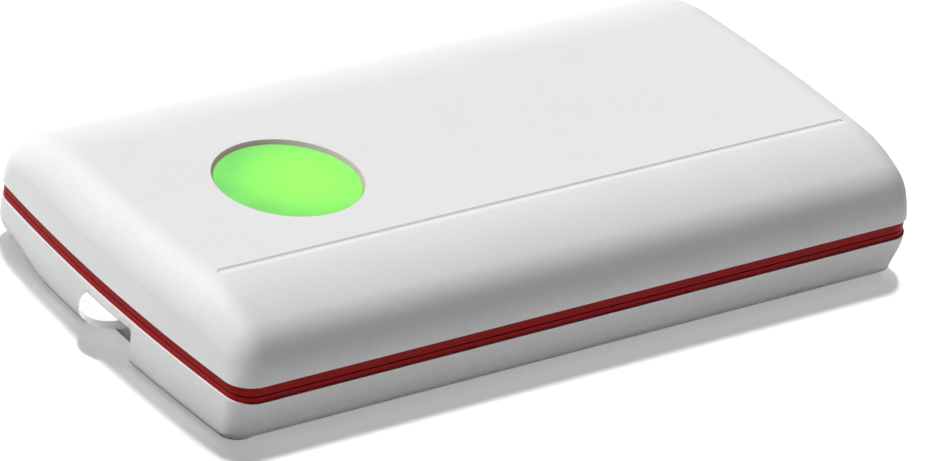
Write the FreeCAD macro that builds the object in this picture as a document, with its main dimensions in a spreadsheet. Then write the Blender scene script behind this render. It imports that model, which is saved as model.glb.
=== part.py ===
import FreeCAD, Part
import math
import os
import re
import Sketcher

# Handheld colour reader on its calibration base.
# Millimetres; X along the length, Y to the far side, Z up from the floor.

SIZES = [
    ("overrun", 2, "extra length of every cutting tool"),
    ("same_point", 0.001, "points closer than this are one point"),
    ("case_length", 88, "between the crowns of the bowed ends"),
    ("case_width", 47.2, "between the long sides at the band"),
    ("end_bow", 1.23, "how far the short ends bow outward"),
    ("corner_radius", 2.85, "upright corners in plan"),
    ("base_height", 4.9, "floor to the red band"),
    ("band_height", 1.88, "red band with its parting line"),
    ("dome_height", 7.34, "red band to the flat top"),
    ("band_inset", 0.2, "red band set back from the case"),
    ("seam_gap", 0.1, "parting line between the reader and its base"),
    ("rim_height", 0.66, "red strip that stays with the base"),
    ("shell_wall", 1.6, "wall of the top shell"),
    ("shoulder_width", 12, "long side to the flat of the top"),
    ("shoulder_radius", 17.5, "upper radius of the shoulder"),
    ("shoulder_land", 0.4, "upright strip above the band"),
    ("end_round", 4.2, "edge round of the top at the ends"),
    ("groove_side", 10.58, "line along the top from the near side"),
    ("groove_end", 4.4, "that line from each end"),
    ("groove_width", 0.3, "width of that line"),
    ("groove_depth", 0.12, "depth of that line"),
    ("button_setback", 21.26, "button and optics from the left end"),
    ("button_bore", 15.8, "opening in the top shell"),
    ("button_gap", 0.3, "button to its opening, all round"),
    ("button_recess", 0.4, "button below the top"),
    ("button_flange", 18.4, "diameter of the flange under the top"),
    ("button_flange_height", 0.9, "thickness of that flange"),
    ("button_rest_gap", 0.1, "flange to the top shell when released"),
    ("button_edge", 0.25, "chamfer of the button"),
    ("plunger_diameter", 3, "switch plunger"),
    ("plunger_gap", 0.3, "plunger to its bore, all round"),
    ("plunger_depth", 0.4, "plunger inside the switch when released"),
    ("plunger_room", 0.8, "room under the released plunger"),
    ("switch_size", 6.2, "square switch body"),
    ("switch_height", 2, "switch body above the board"),
    ("base_wall", 1.8, "wall of the base"),
    ("base_floor", 1.5, "floor of the base"),
    ("base_side_round", 2.6, "bottom edge at the long sides"),
    ("base_end_round", 1.2, "bottom edge at the short ends"),
    ("notch_width", 8.8, "finger notch at the left end"),
    ("notch_shift", 1.0, "notch towards the near side"),
    ("notch_depth", 2.6, "notch into the case"),
    ("notch_strip", 0.85, "wall left above the notch"),
    ("notch_corner", 0.5, "upper corners of the notch"),
    ("lip_reach", 2.15, "lip beyond the end of the case"),
    ("lip_radius", 3.23, "half-moon outline of the lip"),
    ("lip_gap", 0.1, "lip to the notch above and behind"),
    ("lip_drop", 0.35, "fall of the lip from the case to its tip"),
    ("lip_edge", 0.7, "thickness of the lip at its tip"),
    ("tongue_length", 2.4, "lip tongue in the base"),
    ("tongue_width", 6.4, "width of that tongue"),
    ("tongue_height", 1, "height of that tongue"),
    ("tongue_fit", 0.05, "tongue to its slot, all round"),
    ("lip_block_length", 3.7, "base block behind the notch"),
    ("lip_block_side", 2.8, "that block beyond the notch at each side"),
    ("lip_block_below", 0.2, "block top below the red band"),
    ("pad_diameter", 7.6, "rest pads on the base floor"),
    ("pad_height", 1.1, "rest pads above the base floor"),
    ("magnet_end", 24, "left magnets from the left end"),
    ("magnet_side", 6.4, "left magnets from the long sides"),
    ("magnet_right_end", 6.6, "right magnet from the right end"),
    ("magnet_diameter", 5, "holding magnets"),
    ("magnet_height", 1.4, "thickness of the magnets"),
    ("magnet_gap", 0.1, "magnet to its pocket, all round"),
    ("magnet_cover", 0.1, "base magnet below its pad"),
    ("magnet_sink", 0.4, "reader magnet into the cover floor"),
    ("tile_diameter", 20, "white reference tile"),
    ("tile_height", 1, "thickness of the tile"),
    ("tile_gap", 0.2, "tile to its recess, all round"),
    ("tile_seat", 0.6, "base floor left under the tile"),
    ("cushion_height", 0.3, "foam under the tile"),
    ("cushion_margin", 1, "foam inside the edge of the tile"),
    ("cover_gap", 0.5, "under cover to the base wall"),
    ("cover_wall", 1.2, "wall of the under cover"),
    ("cover_floor", 1.4, "floor of the under cover"),
    ("cover_corner", 1, "inner corners of the under cover"),
    ("cover_top", 7.2, "rim of the under cover above the floor of the base"),
    ("nest_gap", 0.5, "under cover to the block behind the notch"),
    ("nest_wall", 1.2, "wall of the under cover round that block"),
    ("screw_end", 10, "case screws from the ends"),
    ("screw_side", 5.2, "case screws from the long sides"),
    ("screw_shank", 2, "case screw diameter"),
    ("screw_length", 6.4, "case screw under its head"),
    ("screw_head", 3.6, "case screw head diameter"),
    ("screw_head_height", 1.2, "case screw head"),
    ("screw_sink", 0.3, "case screw head below the cover"),
    ("screw_gap", 0.1, "case screw to its holes, all round"),
    ("screw_tip_room", 0.5, "hole beyond the screw tip"),
    ("boss_diameter", 5, "screw bosses and posts"),
    ("boss_level", 7.2, "where a boss meets its post"),
    ("board_level", 7.4, "underside of the main board"),
    ("board_thickness", 1, "main board"),
    ("board_left_gap", 9.4, "main board from the left end"),
    ("board_right_gap", 4, "main board from the right end"),
    ("board_side_gap", 8.2, "main board from the long sides"),
    ("board_screw_left_edge", 2.6, "left board screws from the board edge"),
    ("board_screw_right_edge", 3.4, "right board screws from the board edge"),
    ("board_screw_side_edge", 3, "board screws from the long board edges"),
    ("board_screw_shank", 1.4, "board screw diameter"),
    ("board_screw_length", 3.2, "board screw under its head"),
    ("board_screw_head", 2.8, "board screw head diameter"),
    ("board_screw_head_height", 0.9, "board screw head"),
    ("board_post", 4, "posts under the board screws"),
    ("status_led_circle", 12, "circle of the lamps round the switch"),
    ("status_led_size", 1.6, "lamp length and width"),
    ("status_led_height", 0.6, "lamp height"),
    ("controller_offset", 18.74, "microcontroller from the button along the length"),
    ("controller_side", 4, "microcontroller to the near side"),
    ("controller_size", 7, "microcontroller length and width"),
    ("controller_height", 0.9, "microcontroller height"),
    ("radio_edge", 24, "radio module from the right board edge"),
    ("radio_side", 9.4, "radio module from the far board edge"),
    ("radio_length", 15, "radio module length"),
    ("radio_width", 10.5, "radio module width"),
    ("radio_height", 1.8, "radio module height"),
    ("charger_edge", 14, "charger chip from the right board edge"),
    ("charger_side", 7.4, "charger chip from the near board edge"),
    ("charger_size", 3.2, "charger chip length and width"),
    ("charger_height", 0.8, "charger chip height"),
    ("socket_setback", 2.8, "mouth of the charging socket from the right end"),
    ("socket_length", 7.2, "charging socket length"),
    ("socket_width", 8.9, "charging socket width"),
    ("socket_height", 3.2, "charging socket height"),
    ("socket_round", 1.3, "rounded edges of the charging socket"),
    ("socket_wall", 0.35, "sheet of the charging socket"),
    ("socket_bottom", 1.2, "solid back of the charging socket"),
    ("socket_tongue_width", 6.2, "contact tongue width"),
    ("socket_tongue_height", 0.7, "contact tongue height"),
    ("socket_tongue_short", 0.6, "contact tongue behind the mouth"),
    ("socket_gap", 0.3, "case opening round the charging socket"),
    ("battery_length", 30, "battery along the case"),
    ("battery_width", 28, "battery across the case"),
    ("battery_clear", 0.5, "battery to the right screw posts"),
    ("battery_height", 2.7, "battery thickness"),
    ("battery_round", 1.1, "edge round of the battery"),
    ("battery_pad_height", 0.3, "foam tape under the battery"),
    ("battery_pad_margin", 2, "tape inside the edge of the battery"),
    ("plug_margin", 2.4, "battery plug from the near side of the battery"),
    ("plug_length", 3.4, "battery plug length"),
    ("plug_width", 5.2, "battery plug width"),
    ("plug_height", 2.2, "battery plug under the board"),
    ("lead_diameter", 0.9, "battery leads"),
    ("lead_length", 2.5, "battery leads between plug and battery"),
    ("lead_pitch", 2, "between the battery leads"),
    ("nose_flange", 17, "aperture ring under the cover"),
    ("nose_flange_height", 0.4, "aperture ring flange"),
    ("nose_neck", 14, "aperture ring in the cover floor"),
    ("nose_bore", 10, "open aperture"),
    ("nose_fit", 0.05, "aperture ring to the cover, all round"),
    ("window_diameter", 11.6, "aperture window"),
    ("window_height", 0.8, "thickness of the window"),
    ("window_fit", 0.05, "window to its seat, all round"),
    ("barrel_diameter", 15, "light-tight barrel"),
    ("barrel_height", 2.6, "barrel above the cover floor"),
    ("barrel_bore", 3.4, "bore in front of the lens"),
    ("barrel_ledge", 0.8, "lens seat above the cover floor"),
    ("lens_diameter", 4.2, "collector lens"),
    ("lens_height", 1, "collector lens"),
    ("lens_radius", 4, "curved face of the lens"),
    ("lens_fit", 0.05, "lens to its seat, all round"),
    ("lamp_circle", 8.4, "circle of the measuring lamps"),
    ("lamp_count", 6, "number of measuring lamps"),
    ("lamp_size", 1.4, "measuring lamp length and width"),
    ("lamp_height", 0.7, "measuring lamp height"),
    ("lamp_bore", 2.1, "light passage in the barrel"),
    ("sensor_size", 3, "sensor chip length and width"),
    ("sensor_height", 0.7, "sensor chip height"),
]

# Levels and outlines that follow from the sizes above.
DERIVED = [
    ("half_length", "case_length / 2"),
    ("half_width", "case_width / 2"),
    ("bow_radius", "(half_width ^ 2 + end_bow ^ 2) / (2 * end_bow)"),
    ("bow_reach", "bow_radius - half_length"),
    ("band_top", "base_height + band_height"),
    ("rim_top", "base_height + rim_height"),
    ("band_low", "rim_top + seam_gap"),
    ("top_level", "band_top + dome_height"),
    ("ceiling_level", "top_level - shell_wall"),
    ("flat_half", "half_width - shoulder_width"),
    ("land_level", "band_top + shoulder_land"),
    ("button_x", "button_setback - half_length"),
    ("groove_y", "groove_side - half_width"),
    ("groove_length", "case_length - 2 * groove_end"),
    ("groove_fall", "shoulder_radius - sqrt(shoulder_radius ^ 2 - (groove_y + flat_half) ^ 2)"),
    ("notch_top", "base_height - notch_strip"),
    ("lip_top", "notch_top - lip_gap"),
    ("lip_bottom", "lip_top - lip_drop - lip_edge"),
    ("lip_block_top", "base_height - lip_block_below"),
    ("lip_block_width", "notch_width + 2 * lip_block_side"),
    ("lip_block_end", "half_length - notch_depth - lip_block_length"),
    ("cover_level", "base_floor + pad_height"),
    ("cover_inside", "cover_level + cover_floor"),
    ("cover_inset", "base_wall + cover_gap"),
    ("board_top", "board_level + board_thickness"),
    ("switch_top", "board_top + switch_height"),
    ("button_top", "top_level - button_recess"),
    ("flange_top", "ceiling_level - button_rest_gap"),
    ("flange_bottom", "flange_top - button_flange_height"),
    ("magnet_left", "magnet_end - half_length"),
    ("magnet_y", "half_width - magnet_side"),
    ("magnet_right", "half_length - magnet_right_end"),
    ("screw_x", "half_length - screw_end"),
    ("screw_y", "half_width - screw_side"),
    ("board_left", "board_left_gap - half_length"),
    ("board_right", "half_length - board_right_gap"),
    ("board_width", "case_width - 2 * board_side_gap"),
    ("board_screw_left", "board_left + board_screw_left_edge"),
    ("board_screw_right", "board_right - board_screw_right_edge"),
    ("board_screw_y", "board_width / 2 - board_screw_side_edge"),
    ("socket_front", "half_length - socket_setback"),
    ("controller_x", "button_x + controller_offset"),
    ("controller_y", "-controller_side"),
    ("radio_x", "board_right - radio_edge"),
    ("radio_y", "board_width / 2 - radio_side"),
    ("charger_x", "board_right - charger_edge"),
    ("charger_y", "charger_side - board_width / 2"),
    ("battery_right", "screw_x - boss_diameter / 2 - battery_clear"),
    ("battery_x", "battery_right - battery_length / 2"),
    ("plug_x", "battery_right - battery_length - lead_length - plug_length / 2"),
    ("plug_y", "plug_margin - battery_width / 2"),
    ("case_hole", "screw_shank + 2 * screw_gap"),
    ("board_hole", "board_screw_shank + 2 * screw_gap"),
    ("magnet_pocket", "magnet_diameter + 2 * magnet_gap"),
    ("base_magnet_level", "cover_level - magnet_cover - magnet_height"),
    ("cover_magnet_level", "cover_inside - magnet_sink"),
    ("nest_end", "lip_block_end - nest_gap"),
    ("notch_back", "half_length - notch_depth"),
    ("screw_head_top", "cover_level + screw_sink + screw_head_height"),
    ("screw_tip", "screw_head_top + screw_length"),
]

doc = FreeCAD.newDocument("colour_reader")
sheet = doc.addObject("Spreadsheet::Sheet", "Sizes")
for row, (name, value, note) in enumerate(SIZES, 1):
    sheet.set(f"A{row}", name)
    sheet.set(f"B{row}", str(value))
    sheet.setAlias(f"B{row}", name)
    sheet.set(f"C{row}", note)
for row, (name, formula) in enumerate(DERIVED, len(SIZES) + 1):
    sheet.set(f"A{row}", name)
    sheet.set(f"B{row}", f"={formula}")
    sheet.setAlias(f"B{row}", name)
doc.recompute()
ALIASES = {entry[0] for entry in SIZES + DERIVED}
NEAR = sheet.same_point
PARTS = []


def ref(text):
    """Sheet expression with every alias written out."""
    return re.sub(r"[a-z][a-z_]+", lambda m: f"Sizes.{m[0]}" if m[0] in ALIASES else m[0], str(text))


def num(text):
    """Present value of a sheet expression."""
    value = sheet.evalExpression(ref(text))
    return float(getattr(value, "Value", value))


def bind(obj, **links):
    """Ties properties of an object to sheet expressions; two underscores stand for a dot."""
    for key, text in links.items():
        obj.setExpression(key.replace("__", "."), ref(text))
    return obj


def place(obj, x, y, z):
    """Puts an object at a point given by sheet expressions."""
    return bind(obj, Placement__Base__x=x, Placement__Base__y=y, Placement__Base__z=z)


def box(name, length, width, height, x, y, z):
    """Block centred on x and y, standing on z."""
    obj = bind(doc.addObject("Part::Box", name), Length=length, Width=width, Height=height)
    return place(obj, f"{x} - ({length}) / 2", f"{y} - ({width}) / 2", z)


def rod(name, diameter, height, x, y, z):
    """Upright cylinder standing on z."""
    obj = bind(doc.addObject("Part::Cylinder", name), Radius=f"({diameter}) / 2", Height=height)
    return place(obj, x, y, z)


def fuse(name, shapes):
    obj = doc.addObject("Part::MultiFuse", name)
    obj.Shapes = shapes
    return obj


def common(name, base, tool):
    obj = doc.addObject("Part::Common", name)
    obj.Base, obj.Tool = base, tool
    return obj


def cut(name, base, tools):
    obj = doc.addObject("Part::Cut", name)
    obj.Base = base
    obj.Tool = tools[0] if len(tools) == 1 else fuse(f"{name}_tools", tools)
    return obj


def together(name, shapes):
    """Several like solids kept apart in one node."""
    obj = doc.addObject("Part::Compound", name)
    obj.Links = shapes
    return obj


def part(label, obj):
    obj.Label = label
    PARTS.append(obj)
    return obj


def four(make, name, x, y):
    """One shape in each quarter of the plan."""
    signs = [(1, 1), (-1, 1), (-1, -1), (1, -1)]
    return [make(f"{name}_{n}", f"{sx} * {x}", f"{sy} * {y}") for n, (sx, sy) in enumerate(signs, 1)]


def round_edges(name, base, radii):
    """Rounds the edges of a computed shape; radii gives start and end radius of an edge, or nothing.

    Edges of one radius come last: they settle the radius where the varying edges end."""
    doc.recompute()
    obj = doc.addObject("Part::Fillet", name)
    obj.Base = base
    edges = [(n, *r) for n, e in enumerate(base.Shape.Edges, 1) if (r := radii(e))]
    obj.Edges = sorted(edges, key=lambda edge: edge[1] == edge[2])
    return obj


def sketch_in(body, role, name, level="0"):
    """Empty sketch on an origin plane of a body, lifted along the normal of that plane."""
    plane = next(f for f in body.Origin.OriginFeatures if f.Role == role)
    sketch = body.newObject("Sketcher::SketchObject", name)
    sketch.AttachmentSupport = [(plane, "")]
    sketch.MapMode = "FlatFace"
    return bind(sketch, AttachmentOffset__Base__z=level)


def dimension(sketch, kind, *where, text):
    """Driving dimension tied to a sheet expression."""
    index = sketch.addConstraint(Sketcher.Constraint(kind, *where, num(text)))
    sketch.setExpression(f"Constraints[{index}]", ref(text))


def rule(sketch, kind, *where):
    sketch.addConstraint(Sketcher.Constraint(kind, *where))


def arc(x, y, radius, start, end):
    circle = Part.Circle(FreeCAD.Vector(x, y, 0), FreeCAD.Vector(0, 0, 1), radius)
    return Part.ArcOfCircle(circle, start, end)


def line(x, y, to_x, to_y):
    return Part.LineSegment(FreeCAD.Vector(x, y, 0), FreeCAD.Vector(to_x, to_y, 0))


def tangent_chain(sketch, joints):
    for first, first_end, second, second_end in joints:
        rule(sketch, "Tangent", first, first_end, second, second_end)


def pad(body, sketch, name, length, both_ways=False):
    feature = body.newObject("PartDesign::Pad", name)
    feature.Profile = sketch
    feature.Midplane = both_ways
    bind(feature, Length=length)
    sketch.Visibility = False
    body.Tip = feature
    return feature


def pocket(body, sketch, name, length):
    """Cut from the plane of the sketch upward."""
    feature = body.newObject("PartDesign::Pocket", name)
    feature.Profile = sketch
    feature.Reversed = True
    bind(feature, Length=length)
    body.Tip = feature
    return feature


def plan_outline(sketch, inset, corner_text=None):
    """Case outline in plan, set in from the case: straight long sides, bowed ends, tangent corners."""
    corner_text = corner_text or f"corner_radius - ({inset})"
    side = num(f"half_width - ({inset})")
    bow = num(f"bow_radius - ({inset})")
    corner = num(corner_text)
    reach = num("bow_reach")
    corner_y = side - corner
    corner_x = math.sqrt((bow - corner) ** 2 - corner_y ** 2) - reach
    turn = math.atan2(corner_y, corner_x + reach)
    half, full = math.pi / 2, math.pi
    sketch.addGeometry([
        line(-corner_x, side, corner_x, side),
        arc(corner_x, corner_y, corner, turn, half),
        arc(-reach, 0, bow, -turn, turn),
        arc(corner_x, -corner_y, corner, -half, -turn),
        line(-corner_x, -side, corner_x, -side),
        arc(-corner_x, -corner_y, corner, full + turn, full + half),
        arc(reach, 0, bow, full - turn, full + turn),
        arc(-corner_x, corner_y, corner, half, full - turn),
    ], False)
    tangent_chain(sketch, [
        (0, 2, 1, 2), (1, 1, 2, 2), (2, 1, 3, 2), (3, 1, 4, 2),
        (4, 1, 5, 2), (5, 1, 6, 2), (6, 1, 7, 2), (7, 1, 0, 1),
    ])
    for straight in (0, 4):
        rule(sketch, "Horizontal", straight)
    for end in (2, 6):
        rule(sketch, "PointOnObject", end, 3, -1)
    for other in (3, 5, 7):
        rule(sketch, "Equal", 1, other)
    rule(sketch, "Equal", 2, 6)
    dimension(sketch, "Radius", 1, text=corner_text)
    dimension(sketch, "Radius", 2, text=f"bow_radius - ({inset})")
    dimension(sketch, "DistanceY", -1, 1, 0, 1, text=f"half_width - ({inset})")
    dimension(sketch, "DistanceY", 4, 1, -1, 1, text=f"half_width - ({inset})")
    dimension(sketch, "DistanceX", 2, 3, -1, 1, text="bow_reach")
    dimension(sketch, "DistanceX", -1, 1, 6, 3, text="bow_reach")


def plan_slab(name, inset, level, height, corner_text=None):
    """Slab with the case outline."""
    body = doc.addObject("PartDesign::Body", name)
    sketch = sketch_in(body, "XY_Plane", f"{name}_plan", level)
    plan_outline(sketch, inset, corner_text)
    pad(body, sketch, f"{name}_pad", height)
    return body


def plan_ring(name, outer, inner, level, height):
    """Ring between two case outlines."""
    body = plan_slab(name, outer, level, height)
    sketch = sketch_in(body, "XY_Plane", f"{name}_inside", level)
    plan_outline(sketch, inner)
    pocket(body, sketch, f"{name}_pocket", height)
    return body


def section_outline(sketch, inset, drop):
    """Cross-section of the dome: upright land, two tangent shoulder arcs, flat top."""
    side = num(f"half_width - ({inset})")
    low = num(f"band_top - ({drop})")
    land = num("land_level")
    top = num(f"top_level - ({inset})")
    flat = num("flat_half")
    upper = num(f"shoulder_radius - ({inset})")
    across, rise = side - flat, top - land
    lower = (2 * upper * rise - across ** 2 - rise ** 2) / (2 * (upper - across))
    turn = math.atan2(land - (top - upper), side - lower - flat)
    half, full = math.pi / 2, math.pi
    sketch.addGeometry([
        line(-side, low, side, low),
        line(side, low, side, land),
        arc(side - lower, land, lower, 0, turn),
        arc(flat, top - upper, upper, turn, half),
        line(flat, top, -flat, top),
        arc(-flat, top - upper, upper, half, full - turn),
        arc(lower - side, land, lower, full - turn, full),
        line(-side, land, -side, low),
    ], False)
    rule(sketch, "Coincident", 0, 2, 1, 1)
    rule(sketch, "Coincident", 7, 2, 0, 1)
    tangent_chain(sketch, [
        (1, 2, 2, 1), (2, 2, 3, 1), (3, 2, 4, 1), (4, 2, 5, 1), (5, 2, 6, 1), (6, 2, 7, 1),
    ])
    rule(sketch, "Symmetric", 0, 1, 0, 2, -2)
    rule(sketch, "Symmetric", 4, 1, 4, 2, -2)
    rule(sketch, "Vertical", 1)
    rule(sketch, "Vertical", 7)
    rule(sketch, "Equal", 3, 5)
    rule(sketch, "Equal", 1, 7)
    dimension(sketch, "DistanceX", 0, 1, 0, 2, text=f"2 * (half_width - ({inset}))")
    dimension(sketch, "DistanceX", 4, 2, 4, 1, text="2 * flat_half")
    dimension(sketch, "DistanceY", -1, 1, 0, 1, text=f"band_top - ({drop})")
    dimension(sketch, "DistanceY", -1, 1, 1, 2, text="land_level")
    dimension(sketch, "DistanceY", -1, 1, 4, 1, text=f"top_level - ({inset})")
    dimension(sketch, "Radius", 3, text=f"shoulder_radius - ({inset})")


def bow_outline(sketch, inset):
    """Plan between the two bowed ends, wider than the case."""
    side = num("half_width + overrun")
    bow = num(f"bow_radius - ({inset})")
    reach = num("bow_reach")
    turn = math.asin(side / bow)
    end = bow * math.cos(turn) - reach
    sketch.addGeometry([
        line(-end, side, end, side),
        arc(-reach, 0, bow, -turn, turn),
        line(end, -side, -end, -side),
        arc(reach, 0, bow, math.pi - turn, math.pi + turn),
    ], False)
    for first, first_end, second, second_end in [(0, 2, 1, 2), (1, 1, 2, 1), (2, 2, 3, 2), (3, 1, 0, 1)]:
        rule(sketch, "Coincident", first, first_end, second, second_end)
    for straight in (0, 2):
        rule(sketch, "Horizontal", straight)
    for curve in (1, 3):
        rule(sketch, "PointOnObject", curve, 3, -1)
    rule(sketch, "Equal", 1, 3)
    dimension(sketch, "Radius", 1, text=f"bow_radius - ({inset})")
    dimension(sketch, "DistanceY", -1, 1, 0, 1, text="half_width + overrun")
    dimension(sketch, "DistanceY", 2, 1, -1, 1, text="half_width + overrun")
    dimension(sketch, "DistanceX", 1, 3, -1, 1, text="bow_reach")
    dimension(sketch, "DistanceX", -1, 1, 3, 3, text="bow_reach")


def dome(name, inset, drop):
    """Domed upper case, set in from the case and taken down below the band by drop."""
    section = doc.addObject("PartDesign::Body", f"{name}_section")
    sketch = sketch_in(section, "YZ_Plane", f"{name}_section_sketch")
    section_outline(sketch, inset, drop)
    pad(section, sketch, f"{name}_section_pad", "case_length + 2 * overrun", True)
    ends = doc.addObject("PartDesign::Body", f"{name}_ends")
    sketch = sketch_in(ends, "XY_Plane", f"{name}_ends_sketch", f"band_top - ({drop}) - overrun")
    bow_outline(sketch, inset)
    pad(ends, sketch, f"{name}_ends_pad", f"dome_height + ({drop}) + 2 * overrun")
    block = common(f"{name}_block", section, ends)
    doc.recompute()
    small = num(f"corner_radius - ({inset})")
    large = num(f"end_round - ({inset})")
    low, top = num(f"band_top - ({drop})"), num(f"top_level - ({inset})")
    bow = num(f"bow_radius - ({inset})")
    on_end = set()
    for face in block.Shape.Faces:
        if isinstance(face.Surface, Part.Cylinder) and abs(face.Surface.Radius - bow) < NEAR:
            on_end.update(e.hashCode() for e in face.Edges)

    def radii(edge):
        if edge.hashCode() not in on_end:
            return None
        heights = [v.Z for v in (edge.firstVertex(), edge.lastVertex())]
        if max(heights) < low + NEAR:
            return None
        return tuple(large if z > top - NEAR else small for z in heights)

    return round_edges(f"{name}_rounded", block, radii)


# Top shell: dome less its cavity, screw bosses, button opening, groove and socket opening.
outer_dome = dome("outer_dome", "0", "0")
inner_dome = dome("inner_dome", "shell_wall", "overrun")
bosses = four(lambda n, x, y: rod(n, "boss_diameter", "top_level - boss_level", x, y, "boss_level"),
              "case_boss", "screw_x", "screw_y")
boss_tops = common("case_boss_tops", fuse("case_bosses", bosses), outer_dome)
top_hole_height = "screw_tip + screw_tip_room - boss_level + overrun"
top_holes = four(lambda n, x, y: rod(n, "case_hole", top_hole_height, x, y, "boss_level - overrun"),
                 "case_boss_hole", "screw_x", "screw_y")
opening = rod("button_opening", "button_bore", "shell_wall + 2 * overrun",
              "button_x", "0", "ceiling_level - overrun")
groove = box("top_groove", "groove_length", "groove_width", "groove_depth + overrun", "0", "groove_y",
             "top_level - groove_fall - groove_depth")
socket_hole_block = box("socket_hole_block", "socket_setback + overrun",
                        "socket_width + 2 * socket_gap", "socket_height + 2 * socket_gap",
                        "socket_front + (socket_setback + overrun) / 2", "0", "board_top - socket_gap")


def along_x(radius):
    """Edge chooser for the edges of a block that run along X."""
    def radii(edge):
        a, b = edge.firstVertex().Point, edge.lastVertex().Point
        return (radius, radius) if abs(a.y - b.y) + abs(a.z - b.z) < NEAR else None
    return radii


socket_hole = round_edges("socket_hole", socket_hole_block, along_x(num("socket_round + socket_gap")))
shell = fuse("shell_with_bosses", [cut("shell_skin", outer_dome, [inner_dome]), boss_tops])
part("top_shell", cut("top_shell", shell, [opening, groove, socket_hole] + top_holes))

# Red band of the reader and red strip of the base, either side of the parting line.
part("seam_band", plan_ring("seam_band", "band_inset", "cover_inset", "band_low", "band_top - band_low"))
part("base_rim", plan_ring("base_rim", "band_inset", "base_wall", "base_height", "rim_height"))

# Base: rounded tray with rest pads, block behind the notch, tile recess and magnet pockets.
tray_block = plan_slab("tray_block", "0", "0", "base_height")
doc.recompute()


def tray_radii(edge):
    """Bottom edges: full round on the long sides, smaller on the ends, running over in the corners."""
    ends = edge.firstVertex().Point, edge.lastVertex().Point
    if max(p.z for p in ends) > NEAR:
        return None
    side, end = num("base_side_round"), num("base_end_round")
    if isinstance(edge.Curve, Part.Line):
        return side, side
    if edge.Curve.Radius > num("half_width"):
        return end, end
    return tuple(side if abs(p.y) > num("half_width") - NEAR else end for p in ends)


tray = round_edges("tray", tray_block, tray_radii)
tray_space = plan_slab("tray_space", "base_wall", "base_floor", "base_height - base_floor + overrun")


def magnet_points(make, name):
    """One shape at each magnet."""
    spots = [("magnet_left", "magnet_y"), ("magnet_left", "-magnet_y"), ("magnet_right", "0")]
    return [make(f"{name}_{n}", x, y) for n, (x, y) in enumerate(spots, 1)]


pads = magnet_points(lambda n, x, y: rod(n, "pad_diameter", "cover_level", x, y, "0"), "rest_pad")
lip_block = box("lip_block", "half_length - base_wall / 2 - lip_block_end", "lip_block_width",
                "lip_block_top", "-(half_length - base_wall / 2 + lip_block_end) / 2", "0", "0")
tray_walls = fuse("tray_walls", [cut("tray_skin", tray, [tray_space])]
                  + [common(f"{p.Name}_inside", p, tray) for p in [lip_block] + pads])
notch_block = box("notch_block", "notch_depth + overrun", "notch_width", "notch_top + overrun",
                  "-(half_length + notch_back + overrun) / 2", "-notch_shift", "-overrun")


def notch_radii(edge):
    """Upper corners of the notch."""
    low = min(edge.firstVertex().Z, edge.lastVertex().Z)
    same_y = math.isclose(edge.firstVertex().Y, edge.lastVertex().Y)
    if low > 0 and same_y and edge.Length > num("notch_depth"):
        return num("notch_corner"), num("notch_corner")
    return None


notch = round_edges("notch", notch_block, notch_radii)
tongue_slot = box("tongue_slot", "tongue_length + overrun", "tongue_width + 2 * tongue_fit",
                  "tongue_height + 2 * tongue_fit", "-(notch_back - (tongue_length - overrun) / 2)", "0",
                  "lip_bottom - tongue_fit")
tile_recess = rod("tile_recess", "tile_diameter + 2 * tile_gap", "base_floor - tile_seat + overrun",
                  "button_x", "0", "tile_seat")
base_pockets = magnet_points(
    lambda n, x, y: rod(n, "magnet_pocket", "magnet_height + magnet_cover + overrun",
                        x, y, "base_magnet_level"), "base_pocket")
part("base_shell", cut("base_shell", tray_walls, [notch, tongue_slot, tile_recess] + base_pockets))

# Lip: half-moon plate with a falling top, on a tongue held in the block.
lip_side = doc.addObject("PartDesign::Body", "lip_side")
lip_sketch = sketch_in(lip_side, "XZ_Plane", "lip_side_sketch")
LIP_POINTS = [
    ("notch_back + lip_gap", "lip_bottom"),
    ("half_length + lip_reach + overrun", "lip_bottom"),
    ("half_length + lip_reach + overrun", "lip_bottom + lip_edge - lip_drop * overrun / lip_reach"),
    ("half_length", "lip_top"),
    ("notch_back + lip_gap", "lip_top"),
]
corners = [(-num(x), num(z)) for x, z in LIP_POINTS]
lip_sketch.addGeometry([line(*a, *b) for a, b in zip(corners, corners[1:] + corners[:1])], False)
for n, (x, z) in enumerate(LIP_POINTS):
    rule(lip_sketch, "Coincident", n, 2, (n + 1) % len(LIP_POINTS), 1)
    dimension(lip_sketch, "DistanceX", n, 1, -1, 1, text=x)
    dimension(lip_sketch, "DistanceY", -1, 1, n, 1, text=z)
pad(lip_side, lip_sketch, "lip_side_pad", "2 * lip_radius + 2 * overrun", True)
lip_round = rod("lip_round", "2 * lip_radius", "lip_top + overrun",
                "-(half_length + lip_reach - lip_radius)", "0", "0")
tongue = box("tongue", "tongue_length + lip_radius / 2", "tongue_width", "tongue_height",
             "-(notch_back - tongue_length + (tongue_length + lip_radius / 2) / 2)", "0", "lip_bottom")
part("thumb_lip", fuse("thumb_lip", [common("lip_plate", lip_side, lip_round), tongue]))

# White reference tile on its foam, and the magnets in the rest pads.
part("calibration_tile", rod("calibration_tile", "tile_diameter", "tile_height", "button_x", "0",
                             "tile_seat + cushion_height"))
part("tile_cushion", rod("tile_cushion", "tile_diameter - 2 * cushion_margin", "cushion_height",
                         "button_x", "0", "tile_seat"))
part("base_magnets", together("base_magnets", magnet_points(
    lambda n, x, y: rod(n, "magnet_diameter", "magnet_height", x, y, "base_magnet_level"),
    "base_magnet")))

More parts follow.
